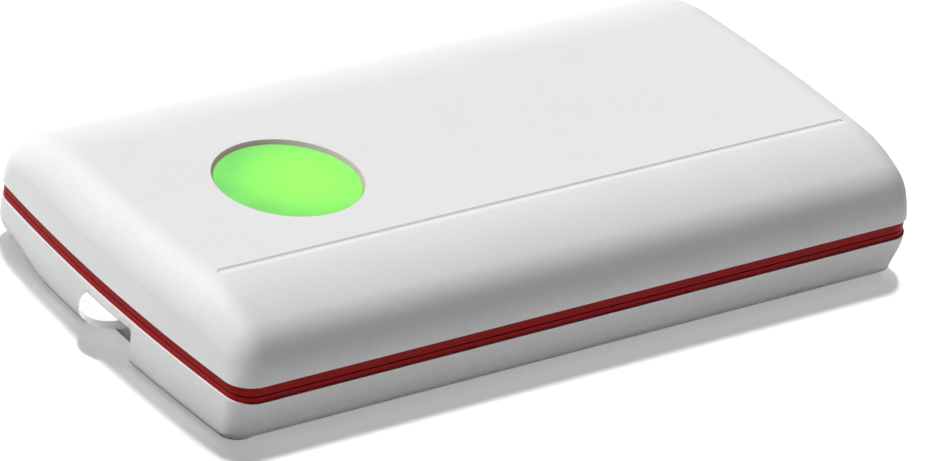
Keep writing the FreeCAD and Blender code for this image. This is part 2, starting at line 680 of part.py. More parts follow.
# Under cover: tray inside the base wall, nest over the lip block, posts for screws and board, aperture.
cover_slab = plan_slab("cover_slab", "cover_inset", "cover_level", "cover_top - cover_level")
cover_space = plan_slab("cover_space", "cover_inset + cover_wall", "cover_inside",
                        "cover_top - cover_inside + overrun", "cover_corner")
nest_solid = box("nest_solid", "half_length - cover_inset - nest_end + nest_wall",
                 "lip_block_width + 2 * (nest_gap + nest_wall)",
                 "lip_block_top + nest_gap + nest_wall - cover_level",
                 "-(half_length - cover_inset + nest_end - nest_wall) / 2", "0", "cover_level")
nest_space = box("nest_space", "half_length - nest_end + overrun", "lip_block_width + 2 * nest_gap",
                 "lip_block_top + nest_gap - cover_level + overrun",
                 "-(half_length + overrun + nest_end) / 2", "0", "cover_level - overrun")
case_posts = four(lambda n, x, y: rod(n, "boss_diameter", "boss_level - cover_level", x, y, "cover_level"),
                  "case_post", "screw_x", "screw_y")


def board_points(make, name):
    """One shape at each board screw."""
    spots = [(f"board_screw_{end}", sign) for end in ("left", "right") for sign in (1, -1)]
    return [make(f"{name}_{n}", x, f"{sign} * board_screw_y") for n, (x, sign) in enumerate(spots, 1)]


board_posts = board_points(
    lambda n, x, y: rod(n, "board_post", "board_level - cover_level", x, y, "cover_level"), "board_post")
case_holes = four(
    lambda n, x, y: rod(n, "case_hole", "boss_level - cover_level + 2 * overrun",
                        x, y, "cover_level - overrun"), "case_hole", "screw_x", "screw_y")
head_holes = four(
    lambda n, x, y: rod(n, "screw_head + 2 * screw_gap", "screw_sink + screw_head_height + overrun",
                        x, y, "cover_level - overrun"), "head_hole", "screw_x", "screw_y")
board_holes = board_points(
    lambda n, x, y: rod(n, "board_hole", "board_screw_length - board_thickness + screw_tip_room + overrun",
                        x, y, "board_top - board_screw_length - screw_tip_room"), "board_hole")
cover_pockets = magnet_points(
    lambda n, x, y: rod(n, "magnet_pocket", "magnet_sink + overrun", x, y, "cover_magnet_level"),
    "cover_pocket")
nose_hole = rod("nose_hole", "nose_neck + 2 * nose_fit", "cover_floor + 2 * overrun",
                "button_x", "0", "cover_level - overrun")
cover_tray = fuse("cover_tray", [cut("cover_skin", cover_slab, [cover_space])] + board_posts
                  + [common(f"{p.Name}_inside", p, cover_slab) for p in [nest_solid] + case_posts])
cover_tools = [nest_space, nose_hole] + case_holes + head_holes + board_holes + cover_pockets
part("under_cover", cut("under_cover", cover_tray, cover_tools))
part("reader_magnets", together("reader_magnets", magnet_points(
    lambda n, x, y: rod(n, "magnet_diameter", "magnet_height", x, y, "cover_magnet_level"),
    "reader_magnet")))


def screw(name, x, y, level, head, head_height, shank, length, head_up):
    """Plain screw whose head rests on level."""
    head_level = level if head_up else f"{level} - {head_height}"
    shank_level = f"{level} - {length}" if head_up else level
    return fuse(name, [rod(f"{name}_head", head, head_height, x, y, head_level),
                       rod(f"{name}_shank", shank, length, x, y, shank_level)])


part("case_screws", together("case_screws", four(
    lambda n, x, y: screw(n, x, y, "screw_head_top", "screw_head", "screw_head_height",
                          "screw_shank", "screw_length", False), "case_screw", "screw_x", "screw_y")))
part("board_screws", together("board_screws", board_points(
    lambda n, x, y: screw(n, x, y, "board_top", "board_screw_head", "board_screw_head_height",
                          "board_screw_shank", "board_screw_length", True), "board_screw")))

# Main board and what stands on it.
board_plate = box("board_plate", "board_right - board_left", "board_width", "board_thickness",
                  "(board_right + board_left) / 2", "0", "board_level")
plate_holes = board_points(
    lambda n, x, y: rod(n, "board_hole", "board_thickness + 2 * overrun", x, y, "board_level - overrun"),
    "plate_hole")
part("main_board", cut("main_board", board_plate, plate_holes))
switch_block = box("switch_block", "switch_size", "switch_size", "switch_height",
                   "button_x", "0", "board_top")
plunger_bore = rod("plunger_bore", "plunger_diameter + 2 * plunger_gap",
                   "plunger_depth + plunger_room + overrun",
                   "button_x", "0", "switch_top - plunger_depth - plunger_room")
part("switch_body", cut("switch_body", switch_block, [plunger_bore]))
part("status_leds", together("status_leds", [
    box(f"status_led_{n}", "status_led_size", "status_led_size", "status_led_height",
        f"button_x + status_led_circle / 2 * {x}", f"status_led_circle / 2 * {y}", "board_top")
    for n, (x, y) in enumerate([(1, 0), (0, 1), (-1, 0), (0, -1)], 1)]))
part("microcontroller", box("microcontroller", "controller_size", "controller_size", "controller_height",
                            "controller_x", "controller_y", "board_top"))
part("radio_module", box("radio_module", "radio_length", "radio_width", "radio_height",
                         "radio_x", "radio_y", "board_top"))
part("charger_chip", box("charger_chip", "charger_size", "charger_size", "charger_height",
                         "charger_x", "charger_y", "board_top"))
socket_block = box("socket_block", "socket_length", "socket_width", "socket_height",
                   "socket_front - socket_length / 2", "0", "board_top")
socket_room = box("socket_room", "socket_length - socket_bottom + overrun",
                  "socket_width - 2 * socket_wall", "socket_height - 2 * socket_wall",
                  "socket_front - (socket_length - socket_bottom - overrun) / 2", "0",
                  "board_top + socket_wall")
socket_tongue = box("socket_tongue", "socket_length - socket_tongue_short", "socket_tongue_width",
                    "socket_tongue_height", "socket_front - (socket_length + socket_tongue_short) / 2", "0",
                    "board_top + (socket_height - socket_tongue_height) / 2")
socket_can = cut("socket_can", round_edges("socket_outside", socket_block, along_x(num("socket_round"))),
                 [round_edges("socket_inside", socket_room, along_x(num("socket_round - socket_wall")))])
part("charging_socket", fuse("charging_socket", [socket_can, socket_tongue]))

# Battery under the board, with its tape, plug and leads.
battery_block = box("battery_block", "battery_length", "battery_width", "battery_height",
                    "battery_x", "0", "cover_inside + battery_pad_height")
part("battery_cell", round_edges("battery_cell", battery_block, along_x(num("battery_round"))))
part("battery_pad", box("battery_pad", "battery_length - 2 * battery_pad_margin",
                        "battery_width - 2 * battery_pad_margin", "battery_pad_height",
                        "battery_x", "0", "cover_inside"))
part("battery_plug", box("battery_plug", "plug_length", "plug_width", "plug_height", "plug_x", "plug_y",
                         "board_level - plug_height"))


def lead(name, sign):
    """Straight lead from the plug to the battery."""
    obj = rod(name, "lead_diameter", "lead_length",
              "plug_x + plug_length / 2", f"plug_y + {sign} * lead_pitch / 2",
              "cover_inside + battery_pad_height + battery_height / 2")
    obj.Placement = FreeCAD.Placement(obj.Placement.Base, FreeCAD.Rotation(FreeCAD.Vector(0, 1, 0), 90))
    return obj


part("battery_leads", together("battery_leads", [lead("lead_plus", 1), lead("lead_minus", -1)]))

# Optics: aperture ring in the cover, window, barrel with light passages, lens, lamps and sensor.
ring_solid = fuse("ring_solid", [
    rod("ring_flange", "nose_flange", "nose_flange_height",
        "button_x", "0", "cover_level - nose_flange_height"),
    rod("ring_neck", "nose_neck", "cover_floor", "button_x", "0", "cover_level")])
part("aperture_ring", cut("aperture_ring", ring_solid, [
    rod("ring_bore", "nose_bore", "cover_floor + nose_flange_height + 2 * overrun", "button_x", "0",
        "cover_level - nose_flange_height - overrun"),
    rod("window_seat", "window_diameter + 2 * window_fit", "window_height + overrun", "button_x", "0",
        "cover_inside - window_height")]))
part("aperture_window", rod("aperture_window", "window_diameter", "window_height", "button_x", "0",
                            "cover_inside - window_height"))


def disc_sketch(body, name, level, diameter, offset="0"):
    """Circle in plan, off the axis of the body along X."""
    sketch = sketch_in(body, "XY_Plane", name, level)
    centre, upright = FreeCAD.Vector(num(offset), 0, 0), FreeCAD.Vector(0, 0, 1)
    sketch.addGeometry(Part.Circle(centre, upright, num(diameter) / 2), False)
    rule(sketch, "PointOnObject", 0, 3, -1)
    dimension(sketch, "Diameter", 0, text=diameter)
    dimension(sketch, "DistanceX", -1, 1, 0, 3, text=offset)
    return sketch


barrel = doc.addObject("PartDesign::Body", "optics_barrel")
barrel_outline = disc_sketch(barrel, "barrel_outline", "0", "barrel_diameter")
pad(barrel, barrel_outline, "barrel_pad", "barrel_height")
bore_outline = disc_sketch(barrel, "bore_outline", "0", "barrel_bore")
pocket(barrel, bore_outline, "bore_pocket", "barrel_height")
lens_seat = disc_sketch(barrel, "lens_seat", "barrel_ledge", "lens_diameter + 2 * lens_fit")
pocket(barrel, lens_seat, "lens_seat_pocket", "barrel_height - barrel_ledge")
passage_outline = disc_sketch(barrel, "passage_outline", "0", "lamp_bore", "lamp_circle / 2")
passage = pocket(barrel, passage_outline, "passage_pocket", "barrel_height")
passages = barrel.newObject("PartDesign::PolarPattern", "passages")
passages.Originals = [passage]
passages.Axis = (next(f for f in barrel.Origin.OriginFeatures if f.Role == "Z_Axis"), [""])
passages.Angle = 360
bind(passages, Occurrences="lamp_count")
barrel.Tip = passages
place(barrel, "button_x", "0", "cover_inside")
part("optics_barrel", barrel)
lens_ball = bind(doc.addObject("Part::Sphere", "lens_ball"), Radius="lens_radius")
place(lens_ball, "button_x", "0", "cover_inside + barrel_ledge + lens_height - lens_radius")
lens_disc = rod("lens_disc", "lens_diameter", "lens_height", "button_x", "0", "cover_inside + barrel_ledge")
part("collector_lens", common("collector_lens", lens_disc, lens_ball))
lamp_turns = [f"{n} * 360 deg / lamp_count" for n in range(int(num("lamp_count")))]
part("illumination_leds", together("illumination_leds", [
    box(f"lamp_{n}", "lamp_size", "lamp_size", "lamp_height", f"button_x + lamp_circle / 2 * cos({turn})",
        f"lamp_circle / 2 * sin({turn})", "board_level - lamp_height")
    for n, turn in enumerate(lamp_turns, 1)]))
part("sensor_chip", box("sensor_chip", "sensor_size", "sensor_size", "sensor_height", "button_x", "0",
                        "board_level - sensor_height"))

# Button and the switch plunger that moves with it.
cap_block = rod("cap_block", "button_bore - 2 * button_gap", "button_top - flange_top",
                "button_x", "0", "flange_top")
doc.recompute()
cap = doc.addObject("Part::Chamfer", "button_cap")
cap.Base = cap_block
cap.Edges = [(n, num("button_edge"), num("button_edge")) for n, e in enumerate(cap_block.Shape.Edges, 1)
             if min(v.Z for v in e.Vertexes) > num("button_top - button_edge")]
flange = rod("button_flange_disc", "button_flange", "button_flange_height",
             "button_x", "0", "flange_bottom")
part("measure_button", fuse("measure_button", [cap, flange]))
part("switch_plunger", rod("switch_plunger", "plunger_diameter",
                           "flange_bottom - switch_top + plunger_depth",
                           "button_x", "0", "switch_top - plunger_depth"))

doc.recompute()
for obj in doc.Objects:
    if "Invalid" in obj.State or "Error" in obj.State:
        raise RuntimeError(f"{obj.Label} did not compute")
os.makedirs("parts", exist_ok=True)
for obj in PARTS:
    if obj.Shape.isNull() or not obj.Shape.isValid():
        raise RuntimeError(f"{obj.Label} has no valid shape")
    obj.Shape.exportStep(f"parts/{obj.Label}.step")
    print(obj.Label, len(obj.Shape.Solids), round(obj.Shape.Volume, 1))
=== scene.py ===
import math
from contextlib import contextmanager

import bmesh
import bpy
from bpy.props import FloatProperty, FloatVectorProperty, IntProperty, PointerProperty
from bpy.types import Operator, Panel, PropertyGroup
from mathutils import Matrix, Vector


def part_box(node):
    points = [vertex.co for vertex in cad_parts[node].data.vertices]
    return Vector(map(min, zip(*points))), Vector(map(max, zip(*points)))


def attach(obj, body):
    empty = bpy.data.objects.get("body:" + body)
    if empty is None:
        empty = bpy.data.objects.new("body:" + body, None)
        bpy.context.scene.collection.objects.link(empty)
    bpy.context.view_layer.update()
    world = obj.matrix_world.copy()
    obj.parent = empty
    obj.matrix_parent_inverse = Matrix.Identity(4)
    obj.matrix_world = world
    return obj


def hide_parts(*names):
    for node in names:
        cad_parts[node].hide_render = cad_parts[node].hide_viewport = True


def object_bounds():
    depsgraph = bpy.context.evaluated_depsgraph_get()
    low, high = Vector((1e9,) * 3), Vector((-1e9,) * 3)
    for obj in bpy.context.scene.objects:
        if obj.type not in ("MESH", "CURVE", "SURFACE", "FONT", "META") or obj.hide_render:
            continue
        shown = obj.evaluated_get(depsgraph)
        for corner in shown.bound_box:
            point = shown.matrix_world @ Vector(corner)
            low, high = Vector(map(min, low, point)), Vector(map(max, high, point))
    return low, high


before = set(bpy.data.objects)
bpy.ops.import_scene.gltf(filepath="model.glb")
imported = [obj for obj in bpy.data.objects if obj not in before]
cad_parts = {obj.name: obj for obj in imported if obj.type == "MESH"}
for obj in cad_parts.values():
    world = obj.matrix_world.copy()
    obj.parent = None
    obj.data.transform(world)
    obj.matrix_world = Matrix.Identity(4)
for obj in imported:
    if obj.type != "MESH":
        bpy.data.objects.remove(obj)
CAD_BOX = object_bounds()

bl_info = {
    "name": "Colour reader",
    "version": (1, 0, 0),
    "blender": (4, 5, 0),
    "location": "View3D > Sidebar > Reader",
    "description": "Handheld colour reader on its calibration base, dressed over the packed part",
    "category": "Object",
}

MM = 0.001
HAIR = 0.002 * MM  # points of a piece that lie nearer than this are merged
WELD = 0.0005 * MM  # the same for the loose triangles of a CAD node
FLAT = math.radians(0.5)  # triangles of a CAD node that bend less than this become one face
HARD = math.radians(35)  # edges that bend more than this are rounded or stay sharp
CASE_GRAIN = {"rough": 0.5, "grain": 0.35 * MM, "depth": 0.025 * MM}  # finish of both white shells
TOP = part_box("top_shell")
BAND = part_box("seam_band")
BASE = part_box("base_shell")
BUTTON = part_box("measure_button")
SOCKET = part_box("charging_socket")
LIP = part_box("thumb_lip")
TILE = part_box("calibration_tile")


def length(name, description, value):
    """Size property; the value is in metres."""
    return FloatProperty(name=name, description=description, default=value, unit="LENGTH",
                         precision=5)


def colour(name, description, value):
    """Colour property."""
    return FloatVectorProperty(name=name, description=description, default=value, subtype="COLOR",
                               size=3, min=0, max=1)


def angle(name, description, degrees):
    """Angle property; the value is in degrees."""
    return FloatProperty(name=name, description=description, default=math.radians(degrees),
                         unit="ROTATION")


def direction(name, description, value):
    """Direction property."""
    return FloatVectorProperty(name=name, description=description, default=value,
                               subtype="DIRECTION", size=3)


def number(name, description, value):
    """Plain number property."""
    return FloatProperty(name=name, description=description, default=value)


class CaseSizes(PropertyGroup):
    """Upper case of the reader and the outline that the whole case shares."""
    half_length: length("Half length", "Middle to the crown of a bowed end", TOP[1].x)
    half_width: length("Half width", "Middle to a long side", TOP[1].y)
    end_bow: length("End bow", "How far the short ends bow outward", 1.23 * MM)
    corner: length("Corner", "Upright corner radius in plan", 2.85 * MM)
    band_top: length("Band top", "Lower edge of the upper case", TOP[0].z)
    top: length("Top", "Flat top of the upper case", TOP[1].z)
    wall: length("Wall", "Wall of the upper case", 1.6 * MM)
    shoulder_width: length("Shoulder width", "Long side to the flat of the top", 11 * MM)
    shoulder_radius: length("Shoulder radius", "Upper radius of the shoulder", 18.3 * MM)
    knuckle_radius: length("Knuckle radius", "Tighter radius where the shoulder turns down", 5 * MM)
    knuckle_top: angle("Knuckle top", "Slope at which the tighter radius begins, from upright", 65)
    knuckle_foot: angle("Knuckle foot", "Slope at which the tighter radius ends, from upright", 27)
    end_round: length("End round", "Edge round of the top at the ends", 4.2 * MM)
    bore: length("Button bore", "Diameter of the button opening", 15.8 * MM)
    socket_gap: length("Socket gap", "Opening round the charging socket", 0.3 * MM)
    socket_round: length("Socket round", "Rounded edges of the charging socket", 1.3 * MM)
    groove_side: length("Groove side", "Line along the top from the near side", 10.58 * MM)
    groove_end: length("Groove end", "That line from each end", 4.4 * MM)
    groove_width: length("Groove width", "Width of that line", 0.44 * MM)
    groove_depth: length("Groove depth", "Depth of that line", 0.19 * MM)
    boss: length("Boss", "Diameter of the screw bosses", 5 * MM)
    boss_foot: length("Boss foot", "Lower end of the screw bosses", 7.2 * MM)
    boss_hole: length("Boss hole", "Diameter of the holes in the screw bosses", 2 * MM)
    boss_room: length("Boss room", "Those holes beyond the tips of the screws", 0.25 * MM)
    edge: length("Edge", "Softened moulded edges", 0.14 * MM)
    overrun: length("Overrun", "Extra length of every cutting tool", 2 * MM)


class BaseSizes(PropertyGroup):
    """Calibration base with its notch, rest pads and recess."""
    top: length("Top", "Upper edge of the base", BASE[1].z)
    wall: length("Wall", "Wall of the base", 1.8 * MM)
    floor: length("Floor", "Floor of the base", 1.5 * MM)
    left_round: length("Left round", "Bottom edge at the left end", 0.8 * MM)
    near_round: length("Near round", "Bottom edge of the near side", 2.5 * MM)
    far_round: length("Far round", "Bottom edge of the far side", 3.0 * MM)
    far_run: length("Far run", "Part of the left end where its round grows", 10 * MM)
    right_round: length("Right round", "Bottom edge at the right end", 4.7 * MM)
    least_corner: length("Least corner", "Smallest corner radius under the rounds", 0.15 * MM)
    notch_width: length("Notch width", "Finger notch at the left end", 8.8 * MM)
    notch_shift: length("Notch shift", "Notch towards the near side", 1 * MM)
    notch_depth: length("Notch depth", "Notch into the case", 2.6 * MM)
    notch_strip: length("Notch strip", "Wall left above the notch", 0.85 * MM)
    notch_corner: length("Notch corner", "Upper corners of the notch", 0.5 * MM)
    block_length: length("Block length", "Block behind the notch", 3.7 * MM)
    block_side: length("Block side", "That block beyond the notch at each side", 2.8 * MM)
    block_below: length("Block below", "Block top below the upper edge", 0.2 * MM)
    pad: length("Pad", "Diameter of the rest pads", 7.6 * MM)
    pad_height: length("Pad height", "Rest pads above the floor", 1.1 * MM)
    tile_gap: length("Tile gap", "Reference tile to its recess", 0.2 * MM)
    tile_seat: length("Tile seat", "Floor left under the tile", 0.6 * MM)
    magnet: length("Magnet", "Diameter of the holding magnets", 5 * MM)
    magnet_gap: length("Magnet gap", "Magnet to its pocket", 0.1 * MM)
    tongue_width: length("Tongue width", "Tongue that holds the lip", 6.4 * MM)
    tongue_height: length("Tongue height", "Height of that tongue", 1 * MM)
    tongue_fit: length("Tongue fit", "Tongue to its slot", 0.05 * MM)
    lip_edge: length("Lip edge", "Softened edges of the lip", 0.3 * MM)
    edge: length("Edge", "Softened moulded edges", 0.16 * MM)


class BandSizes(PropertyGroup):
    """Red band of the reader and red strip of the base."""
    inset: length("Inset", "Bands set back from the case", TOP[1].x - BAND[1].x)
    band_depth: length("Band depth", "Band from its face inward", 2.1 * MM)
    rim_depth: length("Strip depth", "Strip from its face inward", 1.6 * MM)
    edge: length("Edge", "Softened edges of both", 0.05 * MM)


class ButtonSizes(PropertyGroup):
    """Lit measuring button."""
    gap: length("Gap", "Button to its opening", 0.15 * MM)
    flange_height: length("Flange", "Thickness of the flange under the top", 0.9 * MM)
    edge: length("Edge", "Edge round of the button", 0.15 * MM)
    glow_x: length("Glow along", "Brightest place from the middle, along the case", 1.8 * MM)
    glow_y: length("Glow across", "Brightest place from the middle, across the case", -0.3 * MM)
    crown: length("Crown", "Rise of the middle of the button", 0.05 * MM)


class ScrewSizes(PropertyGroup):
    """Screws and magnets, which repeat."""
    case_head: length("Case head", "Case screw head diameter", 3.6 * MM)
    case_head_height: length("Case head height", "Case screw head", 1.2 * MM)
    case_shank: length("Case shank", "Case screw diameter", 2 * MM)
    board_head: length("Board head", "Board screw head diameter", 2.8 * MM)
    board_head_height: length("Board head height", "Board screw head", 0.9 * MM)
    board_shank: length("Board shank", "Board screw diameter", 1.4 * MM)
    slot_share: number("Slot share", "Cross slot width as a share of the head", 0.16)
    slot_depth_share: number("Slot depth share", "Cross slot depth as a share of head height", 0.5)
    magnet_edge: length("Magnet edge", "Edge round of a magnet", 0.2 * MM)
    seed: IntProperty(name="Seed", description="Seed for the turn of the screws", default=4)


class Finishes(PropertyGroup):
    """Colours of the finishes and the strength of their glow."""
    case_white: colour("Case white", "Matte white plastic", (0.83, 0.83, 0.83))
    # Painted shade and painted light on the wall of the button opening: a darker tint, a faint
    # painted glow, paler at its right side
    bore_shade_and_glow: colour("Bore grey", "Wall of the button opening", (0.32, 0.22, 0.24))
    bore_painted_light: colour("Bore pale", "Glow of that wall at its right side", (0.6, 0.56, 0.56))
    bore_painted_glow: number("Bore glow", "Strength of the faint glow of that wall", 0.6)
    # Painted light: the lip is the same white plastic as the case, given lighter here so that it
    # shows brighter
    lip_white: colour("Lip white", "White plastic of the lip", (0.88, 0.88, 0.87))
    band_red: colour("Band red", "Red plastic", (0.33, 0.008, 0.010))
    button_green: colour("Button green", "Lit green plastic, middle", (0.28, 0.86, 0.12))
    button_rim: colour("Button rim", "Lit green plastic, edge", (0.125, 0.49, 0.125))
    button_glow: number("Button glow", "Strength of the light of the button", 0.3)
    cover_grey: colour("Cover grey", "Light grey plastic under the reader", (0.52, 0.53, 0.54))
    tile_white: colour("Tile white", "Glazed white reference tile", (0.88, 0.88, 0.86))
    foam_grey: colour("Foam grey", "Foam tape", (0.06, 0.06, 0.065))
    barrel_black: colour("Barrel black", "Black optics plastic", (0.014, 0.014, 0.016))
    chip_black: colour("Chip black", "Moulded chip", (0.02, 0.02, 0.022))
    board_green: colour("Board green", "Solder mask", (0.01, 0.13, 0.045))
    copper_green: colour("Track green", "Solder mask over copper", (0.03, 0.25, 0.09))
    steel: colour("Steel", "Screws and shields", (0.56, 0.56, 0.57))
    nickel: colour("Nickel", "Magnet plating", (0.62, 0.61, 0.58))
    foil: colour("Foil", "Battery foil", (0.66, 0.67, 0.69))
    lead_red: colour("Lead red", "Battery leads", (0.45, 0.02, 0.02))
    plug_white: colour("Plug white", "Battery plug", (0.75, 0.73, 0.68))
    lamp_body: colour("Lamp body", "Lamp housings", (0.80, 0.78, 0.70))
    lamp_glow: colour("Lamp glow", "Phosphor of the lamps", (0.85, 0.70, 0.20))
    glass: colour("Glass", "Window and lens", (0.96, 0.98, 0.98))


class StageSettings(PropertyGroup):
    """Camera, floor and lamps."""
    yaw: angle("Yaw", "Viewing direction round the case", 39.02)
    pitch: angle("Pitch", "Viewing direction below the horizon", 29.36)
    roll: angle("Roll", "Tilt of the picture", -7.93)
    distance: length("Distance", "Camera to the aim point", 591 * MM)
    lens: number("Lens", "Focal length on a 36 mm sensor", 212.55)
    aim_right: length("Aim right", "Aim point to the right of the middle", 2.318 * MM)
    aim_down: length("Aim down", "Aim point below the middle in the picture", -2.613 * MM)
    aim_height: length("Aim height", "Aim point above the floor", -0.4 * MM)
    floor_size: length("Floor size", "Side of the floor", 6.0)
    floor_gap: length("Floor gap", "Floor below the base", 0.02 * MM)
    floor_colour: colour("Floor colour", "Pale floor", (0.95, 0.95, 0.95))
    floor_glow: number("Floor glow", "White seen on the floor besides its shade", 0.36)
    key: number("Key", "Lamp behind at the left, on the reader", 3.55)
    key_width: angle("Key width", "Angular width of that lamp", 25)
    key_from: direction("Key from", "Direction towards that lamp", (-0.29, 0.44, 0.90))
    down: number("Down", "Lamp above, on the floor", 3.4)
    down_width: angle("Down width", "Angular width of that lamp", 9)
    down_from: direction("Down from", "Direction towards that lamp", (0.20, 0.33, 0.90))


GROUPS = {
    "reader_case": CaseSizes,
    "reader_base": BaseSizes,
    "reader_bands": BandSizes,
    "reader_button": ButtonSizes,
    "reader_screws": ScrewSizes,
    "reader_finishes": Finishes,
    "reader_stage": StageSettings,
}


# Meshes


@contextmanager
def editing(mesh):
    """Bmesh of a mesh, written back at the end."""
    build = bmesh.new()
    build.from_mesh(mesh)
    yield build
    build.to_mesh(mesh)
    build.free()


def add_object(name, data):
    """New object in the scene."""
    made = bpy.data.objects.new(name, data)
    bpy.context.scene.collection.objects.link(made)
    return made


def new_piece(name, points, faces, edges=()):
    """Mesh object at the origin, closed shells facing outward."""
    mesh = bpy.data.meshes.new(name)
    mesh.from_pydata([tuple(p) for p in points], edges, faces)
    with editing(mesh) as build:
        bmesh.ops.recalc_face_normals(build, faces=build.faces)
    return add_object(name, mesh)


def settle(piece):
    """Turns the modifiers of a piece into plain mesh."""
    graph = bpy.context.evaluated_depsgraph_get()
    mesh = bpy.data.meshes.new_from_object(piece.evaluated_get(graph))
    piece.modifiers.clear()
    old, piece.data = piece.data, mesh
    bpy.data.meshes.remove(old)
    mesh.name = piece.name
    return piece


def combine(piece, tools, operation):
    """Cuts the tools out of a piece, or joins them to it, and removes them."""
    for tool in tools:
        step = piece.modifiers.new(tool.name, "BOOLEAN")
        step.operation = operation
        step.solver = "EXACT"
        step.object = tool
    settle(piece)
    for tool in tools:
        bpy.data.objects.remove(tool)
    return piece


def soften(piece, edge, segments=3):
    """Rounds the hard edges of a piece and smooths its shading."""
    step = piece.modifiers.new("soft edges", "BEVEL")
    step.width = edge
    step.segments = segments
    step.limit_method = "ANGLE"
    step.angle_limit = HARD
    step.use_clamp_overlap = True
    settle(piece)
    smooth(piece)
    return piece


def clean(piece):
    """Merges points that a cut or a round left a hair apart and drops faces without area."""
    with editing(piece.data) as build:
        bmesh.ops.remove_doubles(build, verts=build.verts, dist=HAIR)
        bmesh.ops.dissolve_degenerate(build, edges=build.edges, dist=HAIR / 2)


def smooth(piece):
    """Smooth shading, apart from edges that stay hard."""
    clean(piece)
    mesh = piece.data
    mesh.polygons.foreach_set("use_smooth", [True] * len(mesh.polygons))
    mesh.set_sharp_from_angle(angle=HARD)
    step = piece.modifiers.new("even shading", "WEIGHTED_NORMAL")
    step.keep_sharp = True
    settle(piece)


def finish_piece(piece, material, body, slot, *nodes):
    """Gives a piece its material and its body and hides the nodes it stands for; the slot is not
    used.
    """
    piece.data.materials.clear()
    piece.data.materials.append(material)
    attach(piece, body)
    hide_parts(*nodes)
    return piece


def paint_node(name, material):
    """Gives a CAD node that stays its procedural material."""
    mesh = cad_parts[name].data
    mesh.materials.clear()
    mesh.materials.append(material)


def softened_node(node_name, name, edge, segments=2):
    """Copy of a CAD node with its loose triangles merged and its hard edges rounded."""
    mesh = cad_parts[node_name].data.copy()
    if mesh.attributes.get("custom_normal"):
        mesh.attributes.remove(mesh.attributes["custom_normal"])
    with editing(mesh) as build:
        bmesh.ops.remove_doubles(build, verts=build.verts, dist=WELD)
        bmesh.ops.dissolve_limit(build, angle_limit=FLAT, verts=build.verts, edges=build.edges)
    return soften(add_object(name, mesh), edge, segments)


def arc(x, y, radius, start, end, steps):
    """Points of an arc with their normals."""
    found = []
    for n in range(steps + 1):
        turn = start + (end - start) * n / steps
        normal = Vector((math.cos(turn), math.sin(turn)))
        found.append((Vector((x, y)) + radius * normal, normal))
    return found


def arc_points(*bend):
    """Points of an arc alone."""
    return [p for p, _ in arc(*bend)]


def circle(x, y, radius, steps=96):
    """Points of a full circle."""
    return arc_points(x, y, radius, 0, 2 * math.pi, steps)[:-1]


def rounded_rectangle(left, low, right, high, radii, steps=8):
    """Points of a rectangle whose corners have the given radii, from the lower left one round."""
    corners = [(left, low, 1, 1, math.pi), (right, low, -1, 1, 1.5 * math.pi),
               (right, high, -1, -1, 0), (left, high, 1, -1, 0.5 * math.pi)]
    found = []
    for (x, y, sx, sy, start), radius in zip(corners, radii):
        if radius > 0:
            found += arc_points(x + sx * radius, y + sy * radius, radius,
                                start, start + math.pi / 2, steps)
        else:
            found.append(Vector((x, y)))
    return found


def prism(name, outline, low, high, axis="Z"):
    """Closed prism on an outline, along Z from plan points or along X from points across and up."""
    count = len(outline)
    points = []
    for level in (low, high):
        for a, b in outline:
            points.append((a, b, level) if axis == "Z" else (level, a, b))
    faces = [tuple(range(count)), tuple(range(count, 2 * count))]
    faces += [(n, (n + 1) % count, (n + 1) % count + count, n + count) for n in range(count)]
    return new_piece(name, points, faces)


def quads(lines):
    """Faces between neighbouring lines of points."""
    return [(a[k], a[k + 1], b[k + 1], b[k])
            for a, b in zip(lines, lines[1:]) for k in range(len(a) - 1)]


def lathe(name, profile, x, y, steps=96):
    """Closed solid of revolution on an upright axis; the profile starts and ends on the axis."""
    points = [(x, y, profile[0][1]), (x, y, profile[-1][1])]
    rings = []
    for radius, level in profile[1:-1]:
        rings.append(range(len(points), len(points) + steps))
        points += [(p.x, p.y, level) for p in circle(x, y, radius, steps)]
    faces = []
    for n in range(steps):
        m = (n + 1) % steps
        faces.append((0, rings[0][n], rings[0][m]))
        faces.append((1, rings[-1][n], rings[-1][m]))
        faces += [(a[n], a[m], b[m], b[n]) for a, b in zip(rings, rings[1:])]
    return new_piece(name, points, faces)


# Outlines of the case


def bow(case):
    """Radius of the bowed ends and the distance of its centre beyond the middle."""
    radius = (case.half_width ** 2 + case.end_bow ** 2) / (2 * case.end_bow)
    return radius, radius - case.half_length


def plan_outline(case, inset, corner=None, steps=10):
    """Outline in plan as points, outward normals and shares of the long side.

    A share is 0 on the ends and 1 on the sides."""
    corner = case.corner - inset if corner is None else corner
    radius, reach = bow(case)
    radius -= inset
    corner_y = case.half_width - inset - corner
    corner_x = math.sqrt((radius - corner) ** 2 - corner_y ** 2) - reach
    turn = math.atan2(corner_y, corner_x + reach)
    quarter = [(p, n, 0.0) for p, n in arc(-reach, 0, radius, 0, turn, 2 * steps)]
    bend = arc(corner_x, corner_y, corner, turn, math.pi / 2, steps)
    quarter += [(p, n, k / steps) for k, (p, n) in enumerate(bend)][1:]
    side = case.half_width - inset
    quarter += [(Vector((corner_x * (1 - k / steps), side)), Vector((0, 1)), 1.0)
                for k in range(1, steps + 1)]

    def turned(sx, sy, part):
        return [(Vector((sx * p.x, sy * p.y)), Vector((sx * n.x, sy * n.y)), s)
                for p, n, s in part]

    half = quarter + turned(-1, 1, quarter[::-1])[1:]
    return half + turned(1, -1, half[::-1])[1:-1]


